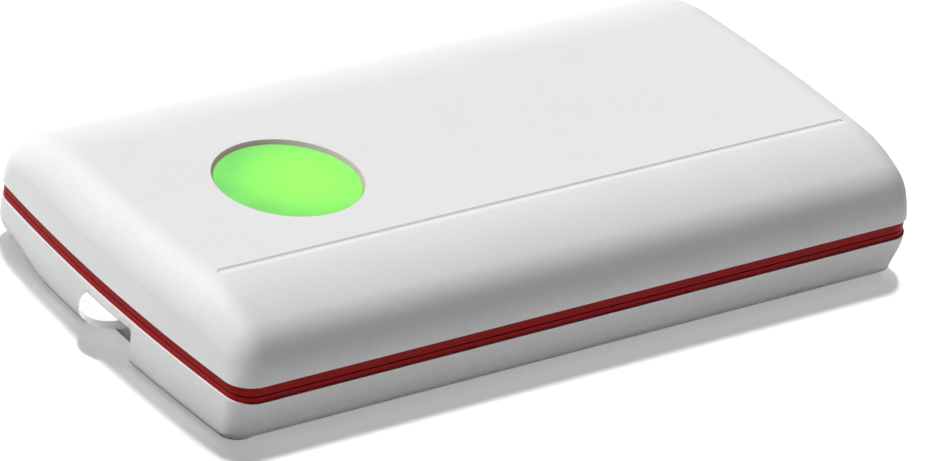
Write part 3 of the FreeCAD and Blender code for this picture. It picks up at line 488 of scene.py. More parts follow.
def dome_section(case, inset, low):
    """Half of the cross-section, from the lower edge to the middle of the top.

    Each entry holds the place across and up, the outward normal and the round towards the end.
    Also returns the number of the entry where the knuckle ends."""
    skirt_steps, lower_steps, knuckle_steps, upper_steps, flat_steps = 4, 10, 12, 14, 10
    foot_share, brow_share = 0.25, 0.55
    flat = case.half_width - case.shoulder_width
    brow, foot = [Vector((math.cos(turn), math.sin(turn)))
                  for turn in (case.knuckle_top, case.knuckle_foot)]
    upper = Vector((flat, case.top - case.shoulder_radius))
    knuckle = upper + (case.shoulder_radius - case.knuckle_radius) * brow
    fall = Vector((case.half_width, case.band_top)) - (knuckle + case.knuckle_radius * foot)
    lower_radius = -fall.length_squared / (2 * fall.dot(foot))
    lower = knuckle + (case.knuckle_radius - lower_radius) * foot
    lean = math.asin((case.band_top - lower.y) / lower_radius)
    small, large = case.corner - inset, case.end_round - inset
    side = lower.x + (lower_radius - inset) * math.cos(lean)
    level = lower.y + (lower_radius - inset) * math.sin(lean)
    rows = [(Vector((side, low + (level - low) * k / skirt_steps)), Vector((1, 0)), small)
            for k in range(skirt_steps if low < level else 0)]
    junction = len(rows) + lower_steps + knuckle_steps
    # centre, radius, slope at both ends, steps, share of the way to the large round at both ends
    bends = ((lower, lower_radius, lean, case.knuckle_foot, lower_steps, 0, foot_share),
             (knuckle, case.knuckle_radius, case.knuckle_foot, case.knuckle_top, knuckle_steps,
              foot_share, brow_share),
             (upper, case.shoulder_radius, case.knuckle_top, math.pi / 2, upper_steps,
              brow_share, 1))
    for place, radius, start, end, steps, first, last in bends:
        bend = arc(*place, radius - inset, start, end, steps)
        rows += [(p, n, small + (large - small) * (first + (last - first) * k / steps))
                 for k, (p, n) in enumerate(bend)][1 if first else 0:]
    rows += [(Vector((flat * (1 - k / flat_steps), case.top - inset)), Vector((0, 1)), large)
             for k in range(1, flat_steps + 1)]
    return rows, junction


def dome(name, case, inset, low):
    """Domed upper case as a closed solid: cross-section rounded over to the bowed ends."""
    half, junction = dome_section(case, inset, low)
    mirror = [(Vector((-p.x, p.y)), Vector((-n.x, n.y)), r) for p, n, r in half]
    rows = mirror + half[-2::-1]
    radius, reach = bow(case)
    radius -= inset
    body_steps, round_steps = 24, 10
    points, grid = [], []

    def add(x, y, z):
        points.append(Vector((x, y, z)))
        return len(points) - 1

    for p, n, r in rows:
        centre = p - r * n
        reach_x = math.sqrt((radius - r) ** 2 - centre.x ** 2) - reach
        facing = Vector((reach_x + reach, centre.x, 0)).normalized()
        outward = Vector((0, n.x, n.y))
        line = [Vector((reach_x * k / body_steps, p.x, p.y)) for k in range(body_steps + 1)]
        middle = Vector((reach_x, centre.x, centre.y))
        line += [middle + r * outward.slerp(facing, k / round_steps)
                 for k in range(1, round_steps + 1)]
        left = [Vector((-v.x, v.y, v.z)) for v in line[:0:-1]]
        grid.append([add(*v) for v in left + line])

    faces = quads(grid)
    last = len(rows) - 1
    for column, sign in ((0, -1), (-1, 1)):
        rim = [row[column] for row in grid]
        foot, brow = points[rim[0]].z, points[rim[junction]].z
        shares = [(points[rim[k]].z - foot) / (brow - foot) for k in range(junction + 1)]
        columns = []
        for n in range(junction, last - junction + 1):
            tip = points[rim[n]]
            x = sign * (math.sqrt(radius ** 2 - tip.y ** 2) - reach)
            inner = [add(x, tip.y, foot + s * (tip.z - foot)) for s in shares[:-1]]
            columns.append(inner + [rim[n]])
        faces += quads(columns)
        for k in range(junction):
            for edge, inner in ((rim[k:k + 2], columns[0]), (rim[::-1][k:k + 2], columns[-1])):
                corners = [edge[0], edge[1], inner[k + 1], inner[k]]
                faces.append(tuple(dict.fromkeys(corners)))
    piece = new_piece(name, points, faces)
    with editing(piece.data) as build:
        bmesh.ops.holes_fill(build, edges=[e for e in build.edges if e.is_boundary], sides=0)
        bmesh.ops.recalc_face_normals(build, faces=build.faces)
    return piece


def bottom_round(case, base, p, share):
    """Round of the bottom edge at a place on the outline."""
    corner_power = 5  # keeps the round of the right end through most of its corners
    side = base.near_round if p.y < 0 else base.far_round
    if p.x > 0:
        return base.right_round + (side - base.right_round) * share ** corner_power
    grown = (p.y - case.half_width + case.corner + base.far_run) / base.far_run
    grown = min(max(grown, 0), 1)
    eased = grown ** 2 * (3 - 2 * grown)
    end = base.left_round + (base.far_round - base.left_round) * eased
    return end + (side - end) * share


def tray(name, case, base):
    """Base as a closed solid: bottom edge rounded least at the left end, most at the right."""
    outline = plan_outline(case, 0)
    rounds = [bottom_round(case, base, p, share) for p, _, share in outline]
    steps, count = 12, len(outline)
    points = [(p.x, p.y, base.top) for p, _, _ in outline]
    for k in range(steps + 1):
        turn = math.pi / 2 * k / steps
        for n, r in enumerate(rounds):
            inset = r * (1 - math.cos(turn))
            corner = max(case.corner - inset, base.least_corner)
            p = plan_outline(case, inset, corner)[n][0]
            points.append((p.x, p.y, r * (1 - math.sin(turn))))
    rows = steps + 2
    faces = [tuple(range(count)), tuple(range((rows - 1) * count, rows * count))]
    for k in range(rows - 1):
        upper, under = k * count, (k + 1) * count
        for n in range(count):
            m = (n + 1) % count
            faces.append((upper + n, upper + m, under + m, under + n))
    return new_piece(name, points, faces)


# Node trees


def feed(tree, made, links):
    """Sets the inputs of a node to values or links them to sockets."""
    for key, value in links.items():
        if isinstance(value, bpy.types.NodeSocket):
            tree.links.new(value, made.inputs[key])
        else:
            made.inputs[key].default_value = value


def node(tree, kind, links=None, **settings):
    """New node; links gives values or sockets for its inputs, settings its other properties."""
    made = tree.nodes.new(kind)
    for key, value in settings.items():
        setattr(made, key, value)
    feed(tree, made, links or {})
    return made


def geometry_tree(name, inputs):
    """Empty Geometry Nodes tree with named inputs: the tree, its input node, the identifiers."""
    tree = bpy.data.node_groups.new(name, "GeometryNodeTree")
    tree.interface.new_socket("Geometry", in_out="INPUT", socket_type="NodeSocketGeometry")
    tree.interface.new_socket("Geometry", in_out="OUTPUT", socket_type="NodeSocketGeometry")
    names = {}
    for label, kind in inputs:
        socket = tree.interface.new_socket(label, in_out="INPUT", socket_type=kind)
        names[label] = socket.identifier
    return tree, tree.nodes.new("NodeGroupInput"), names


def close_tree(tree, start, geometry):
    """Ends a tree: its instances are made real and get the material."""
    whole = node(tree, "GeometryNodeRealizeInstances", {"Geometry": geometry})
    painted = node(tree, "GeometryNodeSetMaterial", {
        "Geometry": whole.outputs["Geometry"], "Material": start.outputs["Material"]})
    node(tree, "NodeGroupOutput", {"Geometry": painted.outputs["Geometry"]})


def grow(piece, tree, names, values):
    """Runs a Geometry Nodes tree on a piece and keeps the plain mesh."""
    step = piece.modifiers.new(tree.name, "NODES")
    step.node_group = tree
    for label, value in values.items():
        step[names[label]] = value
    return settle(piece)


def band_tree():
    """Sweeps a rounded strip along the outline that the piece holds."""
    tree, start, names = geometry_tree("band along the case", [
        ("Depth", "NodeSocketFloat"), ("Height", "NodeSocketFloat"), ("Edge", "NodeSocketFloat"),
        ("Material", "NodeSocketMaterial")])
    path = node(tree, "GeometryNodeMeshToCurve", {"Mesh": start.outputs["Geometry"]})
    level = node(tree, "GeometryNodeSetCurveNormal", {"Curve": path.outputs["Curve"]}, mode="Z_UP")
    strip = node(tree, "GeometryNodeCurvePrimitiveQuadrilateral",
                 {"Width": start.outputs["Depth"], "Height": start.outputs["Height"]})
    rounded = node(tree, "GeometryNodeFilletCurve", {
        "Curve": strip.outputs["Curve"], "Radius": start.outputs["Edge"], "Count": 4}, mode="POLY")
    swept = node(tree, "GeometryNodeCurveToMesh",
                 {"Curve": level.outputs["Curve"], "Profile Curve": rounded.outputs["Curve"]})
    close_tree(tree, start, swept.outputs["Mesh"])
    return tree, names


def set_out_tree():
    """Puts a piece on every point, each turned about its axis by chance."""
    tree, start, names = geometry_tree("like pieces set out", [
        ("Piece", "NodeSocketObject"), ("Most turn", "NodeSocketFloat"), ("Seed", "NodeSocketInt"),
        ("Material", "NodeSocketMaterial")])
    single = node(tree, "GeometryNodeObjectInfo", {"Object": start.outputs["Piece"]})
    turn = node(tree, "FunctionNodeRandomValue", {"Seed": start.outputs["Seed"]}, data_type="FLOAT")
    for socket in turn.inputs:
        if socket.name == "Max" and socket.type == "VALUE":
            tree.links.new(start.outputs["Most turn"], socket)
    upright = node(tree, "ShaderNodeCombineXYZ", {"Z": turn.outputs[1]})
    placed = node(tree, "GeometryNodeInstanceOnPoints", {
        "Points": start.outputs["Geometry"], "Instance": single.outputs["Geometry"],
        "Rotation": upright.outputs["Vector"]})
    close_tree(tree, start, placed.outputs["Instances"])
    return tree, names


def set_out(name, single, places, material, most_turn=0.0, seed=0):
    """Piece made of one like piece on every place."""
    piece = new_piece(name, places, [])
    tree, names = set_out_tree()
    grow(piece, tree, names, {
        "Piece": single, "Most turn": most_turn, "Seed": seed, "Material": material})
    bpy.data.objects.remove(single)
    bpy.data.node_groups.remove(tree)
    smooth(piece)
    return piece


def solids_of(name):
    """Lowest and highest corners of the separate solids in a CAD node."""
    build = bmesh.new()
    build.from_mesh(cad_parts[name].data)
    bmesh.ops.remove_doubles(build, verts=build.verts, dist=WELD)
    left, found = set(build.verts), []
    while left:
        stack, group = [left.pop()], []
        while stack:
            vertex = stack.pop()
            group.append(vertex.co.copy())
            for edge in vertex.link_edges:
                other = edge.other_vert(vertex)
                if other in left:
                    left.remove(other)
                    stack.append(other)
        low = Vector(min(v[k] for v in group) for k in range(3))
        high = Vector(max(v[k] for v in group) for k in range(3))
        found.append((low, high))
    build.free()
    return sorted(found, key=lambda box: tuple(box[0]))


# Materials


def blank(name):
    """Material with its shader and Object coordinates."""
    made = bpy.data.materials.new(name)
    made.use_nodes = True
    tree = made.node_tree
    place = node(tree, "ShaderNodeTexCoord").outputs["Object"]
    return made, tree, tree.nodes["Principled BSDF"], place


def noise(tree, place, size, detail=2.0):
    """Noise whose lumps are about the given size."""
    return node(tree, "ShaderNodeTexNoise", {
        "Vector": place, "Scale": 1 / size, "Detail": detail}).outputs["Fac"]


def ramp(tree, value, start, end, low=0.0, high=1.0, **settings):
    """Value taken from one range to another."""
    return node(tree, "ShaderNodeMapRange", {
        "Value": value, "From Min": start, "From Max": end, "To Min": low, "To Max": high},
        **settings).outputs["Result"]


def spread(tree, value, low=0.0, high=1.0):
    """Noise from about a quarter to three quarters taken to a new range."""
    return ramp(tree, value, 0.25, 0.75, low, high)


def maths(tree, operation, first, second):
    """Two values or sockets put together."""
    return node(tree, "ShaderNodeMath", {0: first, 1: second}, operation=operation).outputs["Value"]


def distance(tree, vector):
    """Length of a vector socket."""
    return node(tree, "ShaderNodeVectorMath", {0: vector}, operation="LENGTH").outputs["Value"]


def blend(tree, factor, first, second):
    """Two colours mixed by a factor; a colour may also be a socket."""
    mix = node(tree, "ShaderNodeMix", {"Factor": factor}, data_type="RGBA")
    for key, value in (("A_Color", first), ("B_Color", second)):
        socket = next(s for s in mix.inputs if s.identifier == key)
        if isinstance(value, bpy.types.NodeSocket):
            tree.links.new(value, socket)
        else:
            socket.default_value = (*value, 1)
    return next(s for s in mix.outputs if s.identifier == "Result_Color")


def shade(value, factor):
    """Colour made lighter or darker."""
    return tuple(min(1.0, part * factor) for part in value)


def relief(tree, shader, height, depth):
    """Raises the surface by a height socket."""
    bump = node(tree, "ShaderNodeBump", {"Height": height, "Distance": depth, "Strength": 1.0})
    feed(tree, shader, {"Normal": bump.outputs["Normal"]})


def moulded(name, base, rough, grain, depth, mottle=0.03, gloss=0.5):
    """Moulded plastic: faint mottling, fine grain in the relief and the gloss."""
    patch, sway = 9 * MM, 0.06
    made, tree, shader, place = blank(name)
    broad = noise(tree, place, patch)
    fine = noise(tree, place, grain, detail=3.0)
    tint = blend(tree, spread(tree, broad), shade(base, 1 - mottle), shade(base, 1 + mottle))
    speckle = blend(tree, spread(tree, fine), shade(base, 1 - 1.5 * mottle), tint)
    feed(tree, shader, {
        "Base Color": speckle, "Roughness": spread(tree, fine, rough - sway, rough + sway),
        "Specular IOR Level": gloss})
    relief(tree, shader, fine, depth)
    return made


def paint_bore_shade_and_light(material, tint, centre, radius):
    """Paints shade on the wall of an upright bore as a darker tint, and painted light on it as a
    faint glow, paler at the right.
    """
    feather, painted_light_from = 1.003 * radius, 0.2 * radius
    tree = material.node_tree
    shader = tree.nodes["Principled BSDF"]
    place = node(tree, "ShaderNodeTexCoord").outputs["Object"]
    flat = node(tree, "ShaderNodeMapping", {
        "Vector": place, "Location": (-centre.x, -centre.y, 0), "Scale": (1, 1, 0)})
    inside = ramp(tree, distance(tree, flat.outputs["Vector"]), radius, feather, 1, 0)
    outer = shader.inputs["Base Color"].links[0].from_socket
    side = node(tree, "ShaderNodeSeparateXYZ", {"Vector": flat.outputs["Vector"]}).outputs["X"]
    painted_light_side = ramp(tree, side, painted_light_from, radius)
    # painted shade in the base colour, painted light in the glow, paler at the right
    feed(tree, shader, {
        "Base Color": blend(tree, inside, outer, tint.bore_shade_and_glow),
        "Emission Color": blend(tree, painted_light_side, tint.bore_shade_and_glow, tint.bore_painted_light),
        "Emission Strength": maths(tree, "MULTIPLY", inside, tint.bore_painted_glow)})


def lit_plastic(name, tint, centre, radius):
    """Lit translucent plastic: bright in the middle, deeper towards the edge, slightly cloudy."""
    bright, deep = 0.3 * radius, 1.3 * radius
    made, tree, shader, place = blank(name)
    moved = node(tree, "ShaderNodeMapping", {"Vector": place, "Location": -centre})
    away = distance(tree, moved.outputs["Vector"])
    cloud = noise(tree, place, 6 * MM)
    fine = noise(tree, place, 0.3 * MM)
    reach = ramp(tree, away, bright, deep, interpolation_type="SMOOTHSTEP")
    worn = maths(tree, "MULTIPLY", reach, spread(tree, cloud, 0.55, 1.0))
    lit = blend(tree, worn, tint.button_green, tint.button_rim)
    feed(tree, shader, {
        "Base Color": lit, "Emission Color": lit, "Emission Strength": tint.button_glow,
        "Specular IOR Level": 0.12, "Roughness": spread(tree, fine, 0.35, 0.5)})
    relief(tree, shader, fine, 0.004 * MM)
    return made


def brushed(name, base, rough, grain):
    """Metal with fine streaks in its gloss."""
    streaks = (1.0, 8.0, 1.0)
    made, tree, shader, place = blank(name)
    streak = node(tree, "ShaderNodeMapping", {"Vector": place, "Scale": streaks})
    fine = noise(tree, streak.outputs["Vector"], grain, detail=4.0)
    broad = noise(tree, place, 2 * MM)
    feed(tree, shader, {
        "Base Color": blend(tree, spread(tree, broad), shade(base, 0.9), shade(base, 1.05)),
        "Roughness": spread(tree, fine, rough - 0.08, rough + 0.12), "Metallic": 1.0})
    relief(tree, shader, fine, 0.003 * MM)
    return made


def foam(name, base):
    """Foam tape with open cells."""
    cell = 0.35 * MM
    made, tree, shader, place = blank(name)
    cells = node(tree, "ShaderNodeTexVoronoi", {"Vector": place, "Scale": 1 / cell})
    hollow = cells.outputs["Distance"]
    feed(tree, shader, {
        "Base Color": blend(tree, hollow, shade(base, 1.4), shade(base, 0.5)), "Roughness": 0.95})
    relief(tree, shader, hollow, 0.06 * MM)
    return made


def glazed(name, base):
    """Glazed white tile: clear gloss over a faintly cloudy body."""
    made, tree, shader, place = blank(name)
    cloud = noise(tree, place, 4 * MM)
    ripple = noise(tree, place, 1.5 * MM)
    feed(tree, shader, {
        "Base Color": blend(tree, spread(tree, cloud), shade(base, 0.97), shade(base, 1.02)),
        "Roughness": spread(tree, ripple, 0.08, 0.16), "Coat Weight": 0.6, "Coat Roughness": 0.05})
    relief(tree, shader, ripple, 0.004 * MM)
    return made


def solder_mask(name, base, track):
    """Circuit board: tracks under the solder mask, fine weave of the laminate."""
    lane, thread = 2.4 * MM, 1.2 * MM
    made, tree, shader, place = blank(name)
    lanes = node(tree, "ShaderNodeTexBrick", {
        "Vector": place, "Scale": 1 / lane, "Mortar Size": 0.06, "Mortar Smooth": 0.1,
        "Brick Width": 1.6, "Row Height": 0.55})
    weave = node(tree, "ShaderNodeTexWave", {
        "Vector": place, "Scale": 1 / thread, "Distortion": 0.6})
    patch = noise(tree, place, 7 * MM)
    over = maths(tree, "MULTIPLY", lanes.outputs["Fac"], spread(tree, patch))
    feed(tree, shader, {
        "Base Color": blend(tree, over, base, track),
        "Roughness": spread(tree, weave.outputs["Fac"], 0.25, 0.38)})
    relief(tree, shader, over, 0.03 * MM)
    return made


def clear_glass(name, base):
    """Clear glass with the faintest polish marks."""
    made, tree, shader, place = blank(name)
    haze = noise(tree, place, 1.2 * MM)
    feed(tree, shader, {
        "Base Color": blend(tree, spread(tree, haze), shade(base, 0.98), base),
        "Roughness": spread(tree, haze, 0.01, 0.04), "Transmission Weight": 1.0, "IOR": 1.5})
    return made


def lamp_body(name, body, glow):
    """Small lamp: pale housing with a phosphor patch that comes and goes across it."""
    made, tree, shader, place = blank(name)
    patch = noise(tree, place, 0.9 * MM)
    feed(tree, shader, {
        "Base Color": blend(tree, spread(tree, patch), body, glow),
        "Roughness": spread(tree, patch, 0.3, 0.5)})
    return made


def seen_directly(tree):
    """1 for what the camera, a reflection or glass shows, 0 for light on other surfaces."""
    path = node(tree, "ShaderNodeLightPath")
    either = maths(tree, "MAXIMUM", path.outputs["Is Camera Ray"], path.outputs["Is Glossy Ray"])
    return maths(tree, "MAXIMUM", either, path.outputs["Is Transmission Ray"])


# Operators


class READER_OT_stage(Operator):
    """Floor, lamps, surround and camera"""
    bl_idname = "reader.stage"
    bl_label = "Stage"

    def execute(self, context):
        stage = context.scene.reader_stage
        context.scene.view_settings.view_transform = "Standard"
        floor = self.floor(stage)
        self.surround(context.scene)
        self.lamp("key_lamp", stage.key_from, stage.key_width, stage.key, floor, "EXCLUDE")
        self.lamp("down_lamp", stage.down_from, stage.down_width, stage.down, floor, "INCLUDE")
        self.camera(context.scene, stage)
        return {"FINISHED"}

    def floor(self, stage):
        """Pale floor that keeps the shadow; what is unshaded shows as white."""
        half, level = stage.floor_size / 2, CAD_BOX[0].z - stage.floor_gap
        floor = new_piece("floor", [(x, y, level) for x, y in (
            (-half, -half), (half, -half), (half, half), (-half, half))], [(0, 1, 2, 3)])
        made, tree, shader, place = blank("pale_floor")
        cloud = noise(tree, place, 400 * MM)
        tint = blend(tree, cloud, shade(stage.floor_colour, 0.995), stage.floor_colour)
        feed(tree, shader, {
            "Base Color": tint, "Roughness": 1.0, "Specular IOR Level": 0.0,
            "Emission Color": (1, 1, 1, 1),
            "Emission Strength": maths(tree, "MULTIPLY", seen_directly(tree), stage.floor_glow)})
        floor.data.materials.append(made)
        return floor

    def surround(self, scene):
        """Dark surround, white where the camera, a reflection or glass shows it."""
        scene.world = bpy.data.worlds.new("studio")
        scene.world.use_nodes = True
        tree = scene.world.node_tree
        feed(tree, tree.nodes["Background"], {
            "Color": (1, 1, 1, 1), "Strength": seen_directly(tree)})

    def lamp(self, name, towards, width, strength, floor, state):
        """Distant lamp in a direction that lights all but the floor, or the floor alone."""
        data = bpy.data.lights.new(name, "SUN")
        data.angle = width
        data.energy = strength
        lamp_object = add_object(name, data)
        lamp_object.rotation_euler = (-Vector(towards)).to_track_quat("-Z", "Y").to_euler()
        lit = bpy.data.collections.new(f"{name}_lit")
        lit.objects.link(floor)
        lit.collection_objects[0].light_linking.link_state = state
        lamp_object.light_linking.receiver_collection = lit

    def camera(self, scene, stage):
        """Camera from its yaw, pitch and roll about the aim point."""
        yaw, pitch, roll = stage.yaw, stage.pitch, stage.roll
        ahead = Vector((math.sin(yaw) * math.cos(pitch), math.cos(yaw) * math.cos(pitch),
                        -math.sin(pitch)))
        level = Vector((math.cos(yaw), -math.sin(yaw), 0))
        down = ahead.cross(level)
        right = level * math.cos(roll) + down * math.sin(roll)
        below = down * math.cos(roll) - level * math.sin(roll)
        aim = right * stage.aim_right + below * stage.aim_down
        aim.z += stage.aim_height
        data = bpy.data.cameras.new("camera")
        data.lens = stage.lens
        data.clip_end = 20
        camera = add_object("camera", data)
        turn = Matrix((right, -below, -ahead)).transposed().to_4x4()
        camera.matrix_world = Matrix.Translation(aim - ahead * stage.distance) @ turn
        scene.camera = camera


class READER_OT_top_shell(Operator):
    """Domed upper case with the button opening, the socket opening and the line along the top"""
    bl_idname = "reader.top_shell"
    bl_label = "Top shell"

    def execute(self, context):
        case, tint = context.scene.reader_case, context.scene.reader_finishes
        middle = (BUTTON[0] + BUTTON[1]) / 2
        shell = dome("top_shell_skin", case, 0, case.band_top)
        hollow = dome("hollow", case, case.wall, case.band_top - case.overrun)
        bore = prism("bore", circle(middle.x, middle.y, case.bore / 2, steps=128),
                     case.top - case.wall - case.overrun, case.top + case.overrun)
        gap, low, high = case.socket_gap, *SOCKET
        mouth = prism("mouth", rounded_rectangle(
            low.y - gap, low.z - gap, high.y + gap, high.z + gap, [case.socket_round + gap] * 4),
            high.x, case.half_length + case.overrun, "X")
        combine(shell, [hollow, bore, mouth], "DIFFERENCE")
        soften(shell, case.edge)
        combine(shell, [self.groove(case)], "DIFFERENCE")
        combine(shell, self.bosses(case), "UNION")
        smooth(shell)
        white = moulded("case_white_top", tint.case_white, **CASE_GRAIN, gloss=0.2)
        shaded_reach = case.bore / 2 + case.edge / 4  # reaches into the softened edge
        # painted shade and painted light on the wall of the button opening
        paint_bore_shade_and_light(white, tint, middle, shaded_reach)
        finish_piece(shell, white, "reader", "case_white", "top_shell")
        return {"FINISHED"}

    def groove(self, case):
        """Cutter for the line along the top, where the shoulder begins to fall."""
        y = case.groove_side - case.half_width
        fallen = case.shoulder_radius - math.sqrt(
            case.shoulder_radius ** 2 - (y + case.half_width - case.shoulder_width) ** 2)
        level, half = case.top - fallen, case.half_length - case.groove_end
        tall = 3  # height of the cutter in depths of the line
        wide, crest = tall * case.groove_width / 2, level + (tall - 1) * case.groove_depth
        valley = level - case.groove_depth
        return prism("groove", [(y, valley), (y + wide, crest), (y - wide, crest)],
                     -half, half, "X")

    def bosses(self, case):
        """Screw bosses, each up to the middle of the wall above it."""
        made = []
        for n, (low, high) in enumerate(solids_of("case_screws")):
            middle = (low + high) / 2
            boss = prism(f"boss_{n}", circle(middle.x, middle.y, case.boss / 2, steps=40),
                         case.boss_foot, case.top)
            hole = prism("hole", circle(middle.x, middle.y, case.boss_hole / 2, steps=32),
                         case.boss_foot - case.overrun, high.z + case.boss_room)
            combine(boss, [hole], "DIFFERENCE")
            made.append(combine(boss, [dome("limit", case, case.wall / 2, 0)], "INTERSECT"))
        return made


class READER_OT_bands(Operator):
    """Red band of the reader and red strip of the base"""
    bl_idname = "reader.bands"
    bl_label = "Red bands"

    def execute(self, context):
        scene = context.scene
        case, bands, tint = scene.reader_case, scene.reader_bands, scene.reader_finishes
        red = moulded("band_red", tint.band_red, rough=0.45, grain=0.25 * MM, depth=0.006 * MM,
                      mottle=0.08, gloss=0.06)
        tree, names = band_tree()
        for name, node_name, body, depth in (
                ("red_band", "seam_band", "reader", bands.band_depth),
                ("red_strip", "base_rim", "base", bands.rim_depth)):
            low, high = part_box(node_name)
            outline = plan_outline(case, bands.inset + depth / 2)
            path = [(p.x, p.y, (low.z + high.z) / 2) for p, _, _ in outline]
            piece = new_piece(name, path, [], [(n, (n + 1) % len(path)) for n in range(len(path))])
            grow(piece, tree, names, {
                "Depth": depth, "Height": high.z - low.z, "Edge": bands.edge, "Material": red})
            smooth(piece)
            finish_piece(piece, red, body, "band_red", node_name)
        bpy.data.node_groups.remove(tree)
        return {"FINISHED"}


class READER_OT_base_shell(Operator):
    """Calibration base with its notch, rest pads, tile recess and magnet pockets"""
    bl_idname = "reader.base_shell"
    bl_label = "Base shell"

    def execute(self, context):
        scene = context.scene
        case, base, tint = scene.reader_case, scene.reader_base, scene.reader_finishes
        over = case.overrun
        shell = tray("base_tray", case, base)
        space = prism("space", [p for p, _, _ in plan_outline(case, base.wall)],
                      base.floor, base.top + over)
        combine(shell, [space], "DIFFERENCE")
        pads, pockets = [], []
        for n, (low, high) in enumerate(solids_of("base_magnets")):
            middle, pad_top = (low + high) / 2, base.floor + base.pad_height
            pads.append(prism(f"pad_{n}", circle(middle.x, middle.y, base.pad / 2),
                              base.floor / 2, pad_top))
            radius = base.magnet / 2 + base.magnet_gap
            pockets.append(prism(f"pocket_{n}", circle(middle.x, middle.y, radius),
                                 low.z, pad_top + over))
        combine(shell, [self.block(case, base)] + pads, "UNION")
        middle = (TILE[0] + TILE[1]) / 2
        radius = (TILE[1].x - TILE[0].x) / 2 + base.tile_gap
        recess = prism("recess", circle(middle.x, middle.y, radius, steps=128),
                       base.tile_seat, base.top)
        combine(shell, self.notch(case, base) + [recess] + pockets, "DIFFERENCE")
        soften(shell, base.edge)
        white = moulded("case_white_base", tint.case_white, **CASE_GRAIN, gloss=0.05)
        finish_piece(shell, white, "base", "case_white", "base_shell")
        return {"FINISHED"}

    def block(self, case, base):
        """Block behind the notch that holds the lip."""
        half = base.notch_width / 2 + base.block_side
        start = base.wall / 2 - case.half_length
        end = base.notch_depth + base.block_length - case.half_length
        return prism("block", [(start, -half), (end, -half), (end, half), (start, half)],
                     base.floor / 2, base.top - base.block_below)

    def notch(self, case, base):
        """Cutters for the finger notch and for the slot of the lip's tongue."""
        half, back = base.notch_width / 2, base.notch_depth - case.half_length
        opening = rounded_rectangle(
            -half - base.notch_shift, -case.overrun, half - base.notch_shift,
            base.top - base.notch_strip, [0, 0, base.notch_corner, base.notch_corner])
        half, low = base.tongue_width / 2 + base.tongue_fit, LIP[0].z - base.tongue_fit
        slot = rounded_rectangle(
            -half, low, half, low + base.tongue_height + 2 * base.tongue_fit, [0] * 4)
        return [prism("notch", opening, -case.half_length - case.overrun, back, "X"),
                prism("slot", slot, back - case.overrun / 2, LIP[1].x + base.tongue_fit, "X")]


class READER_OT_thumb_lip(Operator):
    """Half-moon lip in the notch of the base"""
    bl_idname = "reader.thumb_lip"
    bl_label = "Thumb lip"

    def execute(self, context):
        base, tint = context.scene.reader_base, context.scene.reader_finishes
        lip = softened_node("thumb_lip", "half_moon_lip", base.lip_edge, segments=3)
        # painted light: lighter than the case white so that the lip shows brighter
        white = moulded("lip_white", tint.lip_white, rough=0.30, grain=0.3 * MM, depth=0.004 * MM,
                        mottle=0.02)
        finish_piece(lip, white, "base", "lip_white", "thumb_lip")
        return {"FINISHED"}


class READER_OT_button(Operator):
    """Lit measuring button and the switch plunger under it"""
    bl_idname = "reader.button"
    bl_label = "Button"

    def execute(self, context):
        scene = context.scene
        case, size, tint = scene.reader_case, scene.reader_button, scene.reader_finishes
        edge_steps, crown_steps = 6, 8
        low, high = BUTTON
        middle = (low + high) / 2
        cap = case.bore / 2 - size.gap
        flange, flange_top = (high.x - low.x) / 2, low.z + size.flange_height
        crest, rim = high.z - size.crown, cap - size.edge
        profile = [(0, low.z), (flange, low.z), (flange, flange_top), (cap, flange_top)]
        profile += arc_points(rim, crest - size.edge, size.edge, 0, math.pi / 2, edge_steps)
        for k in range(1, crown_steps):
            share = 1 - k / crown_steps
            profile.append((rim * share, crest + size.crown * (1 - share ** 2)))
        profile.append((0, high.z))
        button = lathe("lit_button", profile, middle.x, middle.y, steps=128)
        smooth(button)
        brightest = Vector((middle.x + size.glow_x, middle.y + size.glow_y, high.z))
        green = lit_plastic("button_green", tint, brightest, cap)
        finish_piece(button, green, "button", "button_green", "measure_button")
        plunger = softened_node("switch_plunger", "plunger", edge=0.15 * MM)
        black = moulded("plunger_black", tint.chip_black, rough=0.4, grain=0.2 * MM,
                        depth=0.003 * MM)
        finish_piece(plunger, black, "button", "plunger_black", "switch_plunger")
        return {"FINISHED"}


class READER_OT_screws(Operator):
    """Case screws and board screws"""
    bl_idname = "reader.screws"
    bl_label = "Screws"

    def execute(self, context):
        size, tint = context.scene.reader_screws, context.scene.reader_finishes
        steel = brushed("screw_steel", tint.steel, rough=0.3, grain=0.3 * MM)
        for name, head, height, shank, head_up in (
                ("case_screws", size.case_head, size.case_head_height, size.case_shank, False),
                ("board_screws", size.board_head, size.board_head_height, size.board_shank, True)):
            boxes = solids_of(name)
            places = [((a.x + b.x) / 2, (a.y + b.y) / 2, b.z if head_up else a.z)
                      for a, b in boxes]
            whole = boxes[0][1].z - boxes[0][0].z
            single = self.screw(size, head, height, shank, whole, -1 if head_up else 1)
            piece = set_out(f"{name}_set", single, places, steel, math.pi / 2, size.seed)
            finish_piece(piece, steel, "reader", "screw_steel", name)
        return {"FINISHED"}

    def screw(self, size, head, height, shank, whole, way):
        """One screw with its head at the origin and its shank along the way."""
        soft, arm, edge_steps = 0.3 * height, 0.3 * head, 5
        tip, tip_radius = whole - shank / 3, shank / 4
        profile = [(0, 0)] + arc_points(head / 2 - soft, soft, soft, -math.pi / 2, 0, edge_steps)
        profile += [(head / 2, height), (shank / 2, height), (shank / 2, tip),
                    (tip_radius, whole), (0, whole)]
        made = lathe("screw", [(r, way * z) for r, z in profile], 0, 0, steps=40)
        wide, deep = size.slot_share * head, size.slot_depth_share * height
        levels = sorted((-way * height, way * deep))
        arms = []
        for n, (a, b) in enumerate(((arm, wide / 2), (wide / 2, arm))):
            arms.append(prism(f"arm_{n}", [(-a, -b), (a, -b), (a, b), (-a, b)], *levels))
        return combine(made, arms, "DIFFERENCE")


